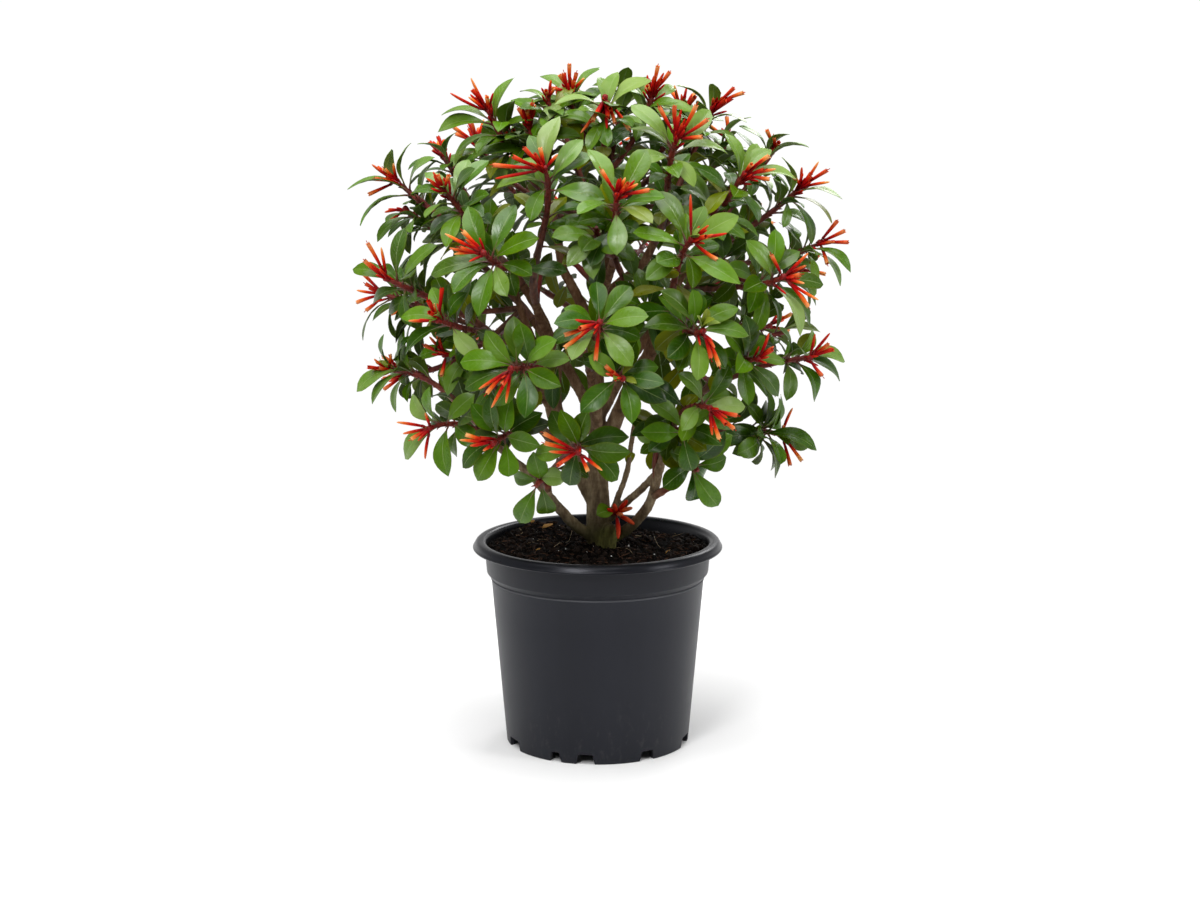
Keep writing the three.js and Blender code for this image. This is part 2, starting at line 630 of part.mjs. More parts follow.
function backBranchEnd({ azimuth, height }) {
  const angle = THREE.MathUtils.degToRad(azimuth);
  return new THREE.Vector3(Math.cos(angle) * BACK_REACH, Math.sin(angle) * BACK_REACH, height);
}

function backShoots() {
  const draw = seededDraws(BACK_SEED);
  const ends = Object.entries(BACK_BRANCHES).map(([branch, rule]) => [branch, backBranchEnd(rule)]);
  const shoots = [];
  for (let k = 0; k < BACK_SHOOTS; k += 1) {
    const azimuth = THREE.MathUtils.degToRad(between(BACK_SWEEP, (k * GOLDEN_TURN) % 1));
    const level = between(BACK_LEVELS, (k + 0.5) / BACK_SHOOTS);
    const spread = Math.sqrt(1 - level * level);
    const size = between(BACK_SIZES, draw());
    const node = new THREE.Vector3(Math.cos(azimuth) * spread, Math.sin(azimuth) * spread, level)
      .multiplyScalar(size)
      .multiply(CROWN_RADII)
      .add(CROWN_CENTRE);
    const axis = shootAxis(node);
    const nearest = ends.reduce((best, end) =>
      (end[1].distanceTo(node) < best[1].distanceTo(node) ? end : best));
    const firstTurn = draw() * FULL_TURN;
    const leaves = Array.from({ length: BACK_LEAVES }, (_, i) => {
      const lean = between(BACK_LEAF_LEANS, draw());
      return around(axis, firstTurn + i * FULL_TURN * GOLDEN_TURN, lean,
        LEAF_LENGTH * between(BACK_LEAF_SIZES, draw()));
    });
    const flowers = Array.from({ length: BACK_FLOWERS }, (_, i) => {
      const lean = between(BACK_FLOWER_LEANS, draw());
      return around(axis, firstTurn + i * FULL_TURN / BACK_FLOWERS, lean,
        FLOWER_LENGTH * between(BACK_FLOWER_SIZES, draw()));
    });
    shoots.push({
      branch: nearest[0],
      node,
      axis,
      facing: axis,
      bud: k % 3 === 1,
      leaves,
      flowers: k % 3 === 2 ? [] : flowers,
    });
  }
  return shoots;
}

// Each shoot's wood: its branch's main run goes to the first shoot, the others fork from that run.
function mainRun(branch, limb, shoot) {
  const last = limb.points.length - 1;
  const leave = limb.tangents[last];
  const start = limb.points[last].clone().addScaledVector(leave, GAP);
  const end = shoot.node.clone().addScaledVector(shoot.axis, SHOOT_END);
  const reach = start.distanceTo(end) / 3;
  const curve = new THREE.CubicBezierCurve3(
    start,
    start.clone().addScaledVector(leave, reach),
    end.clone().addScaledVector(shoot.axis, -reach),
    end,
  );
  return woodRun(branch, sampled(curve, BRANCH_STEPS), taper(BRANCH_RADIUS, TWIG_RADII[1], BRANCH_STEPS),
    { first: leave, last: shoot.axis });
}

function forkShare(main, node) {
  let share = 0;
  let nearest = Infinity;
  main.points.forEach((point, i) => {
    const gap = point.distanceTo(node);
    if (gap < nearest) {
      nearest = gap;
      share = i / (main.points.length - 1);
    }
  });
  return THREE.MathUtils.clamp(share - FORK_BACK, ...FORK_SHARES);
}

function pointAlong(run, share) {
  const along = share * (run.points.length - 1);
  const span = Math.min(Math.floor(along), run.points.length - 2);
  return run.points[span].clone().lerp(run.points[span + 1], along - span);
}

function twigRun(branch, main, shoot, bend) {
  const share = forkShare(main, shoot.node);
  const fork = pointAlong(main, share);
  const end = shoot.node.clone().addScaledVector(shoot.axis, SHOOT_END);
  const reach = fork.distanceTo(end);
  const side = sidewaysOf(shoot.axis);
  const knee = end.clone()
    .addScaledVector(shoot.axis, -KNEE_BACK * reach)
    .addScaledVector(side, bend * KNEE_BEND * reach);
  const curve = new THREE.CubicBezierCurve3(
    fork,
    fork.clone().lerp(knee, KNEE_PULL),
    end.clone().addScaledVector(shoot.axis, -END_PULL * reach),
    end,
  );
  return woodRun(branch, sampled(curve, TWIG_STEPS), taper(...TWIG_RADII, TWIG_STEPS), { last: shoot.axis });
}

function growWood(shoots) {
  const stem = limbRun('trunk_and_limbs', TRUNK, TRUNK_STEPS);
  const limbs = {};
  for (const [branch, stations] of Object.entries(LIMBS)) {
    limbs[branch] = limbRun('trunk_and_limbs', stations, LIMB_STEPS);
  }
  for (const [branch, rule] of Object.entries(BACK_BRANCHES)) {
    const from = vector(rule.from);
    const end = backBranchEnd(rule);
    const knee = from.clone().lerp(end, 0.5).addScaledVector(UP, BACK_KNEE_RISE);
    const stations = [from, knee, end].map((point, i) => [...point.toArray(), BACK_RADII[i]]);
    limbs[branch] = limbRun('trunk_and_limbs', stations, LIMB_STEPS);
  }
  const wood = [stem, ...Object.values(limbs)];
  limbs.top = stem;
  const mains = {};
  for (const shoot of shoots) {
    if (mains[shoot.branch]) continue;
    const main = mainRun(shoot.branch, limbs[shoot.branch], shoot);
    main.shoot = shoot;
    mains[shoot.branch] = main;
    shoot.run = main;
    wood.push(main);
  }
  for (const shoot of shoots.filter((one) => !one.run)) {
    const others = wood.filter((run) => run.owner !== shoot.branch);
    shoot.run = BENDS.map((bend) => twigRun(shoot.branch, mains[shoot.branch], shoot, bend))
      .find((run) => others.every((other) => runsClear(run, other)));
    wood.push(shoot.run);
  }
  return wood;
}

// Blade: arched, with two shoulders on each side and one keel below, from its root to its point
function bladeGeometry(root, tip, facing, grow = 0) {
  const along = tip.clone().sub(root);
  const length = along.length();
  along.normalize();
  const face = facing.clone().multiplyScalar(FACE_OUT).addScaledVector(UP, FACE_UP);
  face.addScaledVector(along, -face.dot(along)).normalize();
  const side = along.clone().cross(face);
  const width = Math.min(between(LEAF_WIDTHS, rimShare(tip)) * length, WIDEST_LEAF);
  const arch = between(LEAF_ARCHES, rimShare(tip)) * length;
  const spot = (share, across, lift) => root.clone()
    .addScaledVector(along, share * length)
    .addScaledVector(side, across)
    .addScaledVector(face, lift + arch * 4 * share * (1 - share));
  const corners = [spot(0, 0, grow)];
  for (const [share, fullness] of LEAF_STATIONS) {
    const half = (width / 2) * fullness + grow;
    corners.push(spot(share, -half, grow), spot(share, half, grow));
  }
  corners.push(spot(1 + grow / length, 0, 0), spot(LEAF_KEEL, 0, -LEAF_RIB - grow));
  const faces = [
    0, 2, 1, 0, 1, 6, 0, 6, 2,
    1, 2, 4, 1, 4, 3, 3, 4, 5,
    6, 1, 3, 6, 3, 5, 6, 5, 4, 6, 4, 2,
  ];
  return meshedFrom(corners, faces);
}

function meshedFrom(corners, faces) {
  const geometry = new THREE.BufferGeometry();
  geometry.setAttribute('position',
    new THREE.BufferAttribute(new Float32Array(corners.flatMap((corner) => corner.toArray())), 3));
  geometry.setIndex(faces);
  return geometry;
}

// Flower: a slim tube that widens towards its tip
function flowerGeometry(root, tip, grow = 0) {
  const along = tip.clone().sub(root).normalize();
  const side = sidewaysOf(along);
  return ringedGeometry([
    ringAt(root, side, along, FLOWER_RADII[0] + grow, FLOWER_SIDES),
    ringAt(tip.clone().addScaledVector(along, grow), side, along, FLOWER_RADII[1] + grow, FLOWER_SIDES),
  ]);
}

// A point in the middle of a shoot's wood, some way back from its end
function backFromEnd(shoot, distance) {
  const points = shoot.run.points;
  let left = distance;
  for (let i = points.length - 1; i > 0; i -= 1) {
    const length = points[i].distanceTo(points[i - 1]);
    if (left <= length) return points[i].clone().lerp(points[i - 1], left / length);
    left -= length;
  }
  return points[0].clone();
}

// A shape is what the crossing test reads: corners, faces, edges and their box.
function shapeOf(geometry, owner, shoot, firstFace = 0) {
  const place = geometry.getAttribute('position');
  const corners = Array.from({ length: place.count }, (_, i) =>
    new THREE.Vector3().fromBufferAttribute(place, i));
  const faces = [];
  const edges = new Map();
  const order = geometry.index.array;
  for (let i = firstFace * 3; i < order.length; i += 3) {
    const face = [order[i], order[i + 1], order[i + 2]];
    faces.push(face.map((corner) => corners[corner]));
    face.forEach((corner, k) => {
      const pair = [corner, face[(k + 1) % 3]].sort((a, b) => a - b);
      edges.set(pair.join('-'), pair.map((end) => corners[end]));
    });
  }
  const box = new THREE.Box3().setFromPoints(faces.flat());
  return { owner, shoot, faces, edges: [...edges.values()], box };
}

const ray = new THREE.Ray();
const hit = new THREE.Vector3();

function edgeMeets([from, to], faces) {
  ray.origin.copy(from);
  ray.direction.copy(to).sub(from);
  const length = ray.direction.length();
  if (length < TINY) return false;
  ray.direction.divideScalar(length);
  return faces.some(([a, b, c]) =>
    ray.intersectTriangle(a, b, c, false, hit) && hit.distanceTo(from) <= length);
}

function shapesCross(one, two) {
  if (!one.box.intersectsBox(two.box)) return false;
  return one.edges.some((edge) => edgeMeets(edge, two.faces))
    || two.edges.some((edge) => edgeMeets(edge, one.faces));
}

// The first tip, turned and leaned about its shoot's axis, that is clear of the other pieces
function clearedTip(tip, axis, isClear) {
  for (const shrink of SHRINKS) {
    for (const lean of LEANS) {
      for (const turn of TURNS) {
        const tried = tip.clone().applyAxisAngle(axis, turn);
        const hinge = tried.clone().cross(axis);
        if (hinge.length() > TINY) tried.applyAxisAngle(hinge.normalize(), lean);
        tried.multiplyScalar(shrink);
        if (isClear(tried)) return tried;
      }
    }
  }
  return null;
}

// The bloom's foot: a short cup on the twig's end that its flowers stand in
function bloomFoot(shoot) {
  const start = shoot.node.clone().addScaledVector(shoot.axis, SHOOT_END + GAP);
  const points = FOOT_STATIONS.map(([rise]) => start.clone().addScaledVector(shoot.axis, rise));
  return woodRun(null, points, FOOT_STATIONS.map(([, radius]) => radius));
}

function growBlooms(shoots, shapes) {
  const blooms = [];
  for (const shoot of shoots.filter((one) => one.flowers.length > 0 && !one.bud)) {
    const name = `bloom_${String(blooms.length + 1).padStart(2, '0')}`;
    const stub = woodGeometry(bloomFoot(shoot), FOOT_SIDES);
    const root = shoot.node.clone().addScaledVector(shoot.axis, SHOOT_END + GAP + FLOWER_RISE);
    const own = [shapeOf(stub, name, shoot)];
    const pieces = [stub];
    for (const tip of shoot.flowers.slice(0, FLOWERS_KEPT)) {
      const others = shapes.filter((shape) => shape.owner !== name);
      const found = clearedTip(tip.clone().add(shoot.node).sub(root), shoot.axis, (tried) => {
        const trial = shapeOf(flowerGeometry(root, tried.clone().add(root), PIECE_CLEARANCE), name, shoot);
        return others.every((other) => !shapesCross(trial, other));
      });
      if (!found) continue;
      const tube = flowerGeometry(root, found.add(root));
      pieces.push(tube);
      own.push(shapeOf(tube, name, shoot));
    }
    shapes.push(...own);
    blooms.push({ name, pieces });
  }
  return blooms;
}

// Leaves of one branch may meet at their roots in the wood, so between them only the outer blade counts.
function leafShape(root, tip, shoot, grow) {
  const geometry = bladeGeometry(root, tip, shoot.facing, grow);
  const shape = shapeOf(geometry, shoot.branch, shoot);
  shape.outer = shapeOf(geometry, shoot.branch, shoot, ROOT_FACES);
  return shape;
}

function leafClear(trial, other) {
  if (other.owner !== trial.owner) return !shapesCross(trial, other);
  if (other.shoot === trial.shoot && !other.outer) return true;
  return !shapesCross(trial.outer, other.outer || other);
}

function growLeaves(shoots, shapes) {
  const pieces = Object.fromEntries(shoots.map((shoot) => [shoot.branch, []]));
  for (const shoot of shoots.filter((one) => one.bud)) {
    const root = backFromEnd(shoot, BUD_ROOT);
    for (const tip of shoot.flowers.slice(0, BUD_TUBES)) {
      const tube = flowerGeometry(root, tip.clone().add(shoot.node));
      const trial = shapeOf(tube, shoot.branch, shoot);
      if (shapes.some((shape) => shape.shoot !== shoot && shapesCross(trial, shape))) continue;
      pieces[shoot.branch].push(tube);
      shapes.push(trial);
    }
  }
  for (let turn = 0; turn < LEAVES_KEPT; turn += 1) {
    for (const shoot of shoots.filter((one) => turn < one.leaves.length)) {
      const root = backFromEnd(shoot, SHOOT_END + turn * LEAF_STEP);
      const wanted = shoot.leaves[turn].clone().add(shoot.node).sub(root);
      const found = clearedTip(wanted, shoot.axis, (tried) => {
        const trial = leafShape(root, tried.clone().add(root), shoot, PIECE_CLEARANCE);
        return shapes.every((other) => leafClear(trial, other));
      });
      if (!found) continue;
      found.add(root);
      pieces[shoot.branch].push(bladeGeometry(root, found, shoot.facing));
      shapes.push(leafShape(root, found, shoot, 0));
    }
  }
  return pieces;
}

// The whole plant, as named geometries with their finishes
function plant() {
  const shoots = [...frontShoots(), ...backShoots()];
  const wood = growWood(shoots);
  const sidesOf = (run) => {
    if (run.owner !== 'trunk_and_limbs') return run.shoot ? BRANCH_SIDES : TWIG_SIDES;
    return run === wood[0] ? STEM_SIDES : LIMB_SIDES;
  };
  const woodPieces = wood.map((run) => ({ run, geometry: woodGeometry(run, sidesOf(run)) }));
  const shootOf = new Map(shoots.map((shoot) => [shoot.run, shoot]));
  const shapes = woodPieces.map(({ run, geometry }) => shapeOf(geometry, run.owner, shootOf.get(run)));
  const blooms = growBlooms(shoots, shapes);
  const pieces = growLeaves(shoots, shapes);
  const stem = woodPieces.filter(({ run }) => run.owner === 'trunk_and_limbs').map((one) => one.geometry);
  stem.push(stemFoot(STEM_FOOT_RADIUS, HOLE_BOTTOM + GAP, STEM_FOOT_TOP));
  const parts = [{ name: 'trunk_and_limbs', finish: FINISHES.bark, geometry: geometryOf(fused(stem)) }];
  for (const branch of Object.keys(pieces)) {
    const own = woodPieces.filter(({ run }) => run.owner === branch).map((one) => one.geometry);
    parts.push({
      name: `leafy_branch_${branch}`,
      finish: FINISHES.foliage,
      geometry: geometryOf(fused([...own, ...pieces[branch]])),
    });
  }
  for (const bloom of blooms) {
    parts.push({ name: bloom.name, finish: FINISHES.bloom, geometry: geometryOf(fused(bloom.pieces)) });
  }
  return parts;
}

const firebush = new THREE.Group();
const parts = [
  { name: 'pot', finish: FINISHES.pot, geometry: pot() },
  { name: 'potting_soil', finish: FINISHES.soil, geometry: pottingSoil() },
  ...plant(),
];
for (const part of parts) {
  const mesh = new THREE.Mesh(part.geometry, part.finish.clone());
  mesh.name = part.name;
  firebush.add(mesh);
}

export default firebush;
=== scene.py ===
# Potted firebush, dressed over its solids: fine leaves, tube flowers, bark, soil crumb and pot.
# Lists and sizes are millimetres in the model's frame (+Z up), and MM turns them into metres.
# The plant grows by the same rule as its solids, so each fine leaf and flower lies along a plain one.

import math
from types import SimpleNamespace

import bmesh
import bpy
import numpy as np
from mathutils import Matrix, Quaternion, Vector, noise


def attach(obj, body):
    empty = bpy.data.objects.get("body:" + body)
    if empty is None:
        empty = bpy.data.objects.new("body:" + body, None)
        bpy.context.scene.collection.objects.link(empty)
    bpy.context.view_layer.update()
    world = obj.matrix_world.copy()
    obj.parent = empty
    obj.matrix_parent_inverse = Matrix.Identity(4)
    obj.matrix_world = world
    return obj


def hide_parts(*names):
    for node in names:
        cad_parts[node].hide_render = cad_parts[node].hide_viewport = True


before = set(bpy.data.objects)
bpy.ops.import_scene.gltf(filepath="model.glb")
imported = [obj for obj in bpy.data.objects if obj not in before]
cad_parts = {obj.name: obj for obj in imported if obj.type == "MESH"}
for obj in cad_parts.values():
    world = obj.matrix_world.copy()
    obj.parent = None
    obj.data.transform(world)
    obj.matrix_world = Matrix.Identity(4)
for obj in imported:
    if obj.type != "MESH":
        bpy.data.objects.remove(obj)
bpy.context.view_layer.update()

MM = 0.001
UP = Vector((0, 0, 1))
FULL_TURN = 2 * math.pi

# Photograph: the camera stands 2.3 m off, at its height above the floor, and looks down a little.
CAMERA_PLACE = (0, -2300, 728)
CAMERA_PITCH = 10.33
CAMERA_LENS = 67.68
SENSOR_WIDTH = 36
FRAME_WIDTH_PX = 1200
AXIS_OFF_CENTRE_PX = 2.4

# Pot
RIM_RADIUS = 130
MOUTH_RADIUS = 118
POT_HEIGHT = 215
LIP_HEIGHT = 8.5
BAND_BOTTOM = 181
STEP_HEIGHT = 6
BAND_RADII = (115.5, 117.6)
BODY_TOP_RADIUS = 111
FOOT_RADIUS = 95.8
WALL = 2.6
FOOT_RING = 5.2
FLOOR_UNDERSIDE = 7
FLOOR_THICKNESS = 2.6
POT_SIDES = 192
# The blocks that cut the slots: how far they go in, out and below the foot, and half their taper
SLOT_REACH = 20
SLOT_PAST = 6
SLOT_BELOW = 2
SLOT_SLOPE = 1.2
# Each drainage slot: its middle, in degrees round from the front, and its width in degrees
SLOTS = [
    (-64.5, 14), (-26.7, 7), (-7.5, 10.5), (32, 9.5), (72.5, 14),
    (110, 9), (146, 9), (184, 14), (222, 9), (258, 9),
]

# Soil
GAP = 0.3
SOIL_EDGE = 206
SOIL_CROWN = 210
SOIL_RADIUS = 113

# Wood
STEM_FOOT = (3, -3)
STEM_FOOT_RADIUS = 15.5
HOLE_BOTTOM = 150
TRUNK_STEPS = 10
LIMB_STEPS = 4
BRANCH_STEPS = 4
TWIG_STEPS = 3
BRANCH_RADIUS = 4.2
TWIG_RADII = (3, 2.3)
SHOOT_END = 9
CLEARANCE = 0.9
FORK_BACK = 0.45
FORK_SHARES = (0.1, 0.6)
# A twig's knee, back from its end and to one side, and its curve's pulls, as shares of its reach
KNEE_BACK = 0.45
KNEE_SIDE = 0.14
START_PULL = 0.6
END_PULL = 0.28

# Crown: an upright squashed ball that holds every shoot's node
CROWN_CENTRE = Vector((0, 0, 466))
CROWN_RADII = Vector((212, 216, 208))
SHOOT_RISE = 0.35

# Leaves and flowers
LEAF_LENGTH = 54
LEAF_WIDTHS = (0.44, 0.34)
LOW_LEAF_WIDTH = 0.5
LEAF_ARCHES = (0.11, 0.19)
WIDEST_LEAF = 22
LEAF_STEP = 2.4
FRONT_PULL = Vector((0, -0.5, 0))
PULL_DEPTH = 150
SIDE_PULL = 0.9
FLOWER_LENGTH = 36
FLOWER_RISE = 3.2
# The cosine of the angle between a shoot's axis and its leaves, and its flowers
LEAF_LEAN = 0.1
FLOWER_LEAN = 1
# A leaf or flower is longer than it looks by this much at least, and by this share of what it lacks.
SEEN_STRETCH = 1.04
LENGTH_SHARE = 0.35

# The trunk and limbs: each runs through its points, (x, y, z, radius).
TRUNK = [
    (3, -3, 206, 15), (1, -2, 240, 13), (0, -1, 280, 11), (0, 1, 320, 9.8), (-1, 1, 361, 8.8),
    (-2, 2, 408, 8), (0, 0, 450, 7), (5, -1, 480, 5.6), (11, -3, 518, 4.8), (14, -5, 556, 4.4),
]
LIMBS = {
    "left_stem": [(1, -2, 244, 8), (-14, -4, 278, 9), (-31, -8, 316, 9.6), (-45, -10, 356, 9.2),
        (-42, -10, 404, 6)],
    "left_third": [(-45, -10, 366, 5.4), (-57, -14, 396, 5), (-66, -16, 424, 4.6), (-76, -18, 450, 4),
        (-84, -20, 478, 3)],
    "left_second": [(-8, -6, 270, 6), (-39, -16, 312, 5.6), (-59, -24, 337, 5), (-82, -32, 362, 4.2),
        (-99, -38, 376, 3)],
    "low_right_second": [(10, -9, 236, 4.4), (29, -15, 256, 4), (45, -24, 272, 3.8),
        (58, -40, 290, 3.8)],
    "top_left": [(-1, 0, 436, 6), (-13, -2, 455, 5.4), (-28, -4, 483, 5), (-36, -5, 500, 4.8),
        (-42, -6, 540, 4.4)],
    "left_upper": [(-42, -10, 402, 5.4), (-49, -11, 430, 5), (-60, -13, 455, 4.6),
        (-76, -15, 482, 4.4)],
    "left_front": [(-42, -11, 400, 5.4), (-48, -24, 427, 5), (-57, -40, 448, 4.8),
        (-62, -60, 470, 4.4)],
    "left_middle": [(-40, -9, 345, 6), (-54, -15, 366, 5.6), (-70, -24, 386, 5), (-84, -32, 408, 4.4)],
    "left_lower": [(0, -6, 215, 6.6), (-22, -17, 232, 5.8), (-44, -33, 259, 5.4), (-62, -42, 285, 5),
        (-84, -50, 306, 4.4)],
    "bottom_front": [(-44, -33, 259, 5), (-50, -58, 270, 4.8), (-50, -82, 284, 4.4)],
    "centre_front": [(0, -1, 328, 6.4), (-2, -30, 362, 5.6), (-5, -60, 388, 5), (-8, -86, 406, 4.4)],
    "upper_front": [(-1, 1, 450, 5.2), (8, -26, 482, 4.8), (15, -56, 508, 4.4)],
    "right_top": [(4, 0, 468, 5), (26, -9, 487, 4.6), (45, -18, 503, 4.4), (57, -28, 526, 4.4)],
    "right_front": [(4, -1, 282, 8), (15, -6, 331, 7.8), (26, -13, 360, 7.6), (40, -26, 392, 7.4),
        (54, -46, 418, 6.6), (64, -82, 448, 4.4)],
    "right_upper": [(50, -38, 410, 6.6), (62, -37, 442, 6), (73, -32, 474, 5.4), (90, -28, 500, 4.4)],
    "right_lower": [(62, -52, 296, 5.6), (68, -46, 326, 5.2), (82, -36, 350, 4.8),
        (100, -28, 366, 4.4)],
    "low_right": [(9, -7, 214, 6.6), (32, -19, 230, 5.8), (51, -30, 254, 5.4), (59, -40, 279, 5),
        (64, -58, 306, 4.4)],
}
# Thin wood that only the dressed plant has: the branch it is drawn with, then its points
THIN_WOOD = {
    "top_left": [[(-6, 0, 484, 3.2), (-20, 2, 499, 2.8), (-31, 4, 508, 2.4), (-44, 6, 530, 1.8)]],
    "left_upper": [[(-60, -13, 440, 2.6), (-62, -14, 455, 2.4), (-60, -16, 478, 2.2), (-56, -20, 500, 2)]],
    "low_right": [[(58, -40, 268, 4), (77, -60, 285, 3.4), (92, -105, 312, 2.6)],
                  [(59, -42, 282, 2.8), (58, -54, 306, 2.4), (62, -62, 334, 2.2), (72, -78, 354, 1.8)]],
    "left_middle": [[(-96, -37, 374, 3.2), (-118, -38, 392, 2.8), (-142, -32, 411, 2.4)]],
}

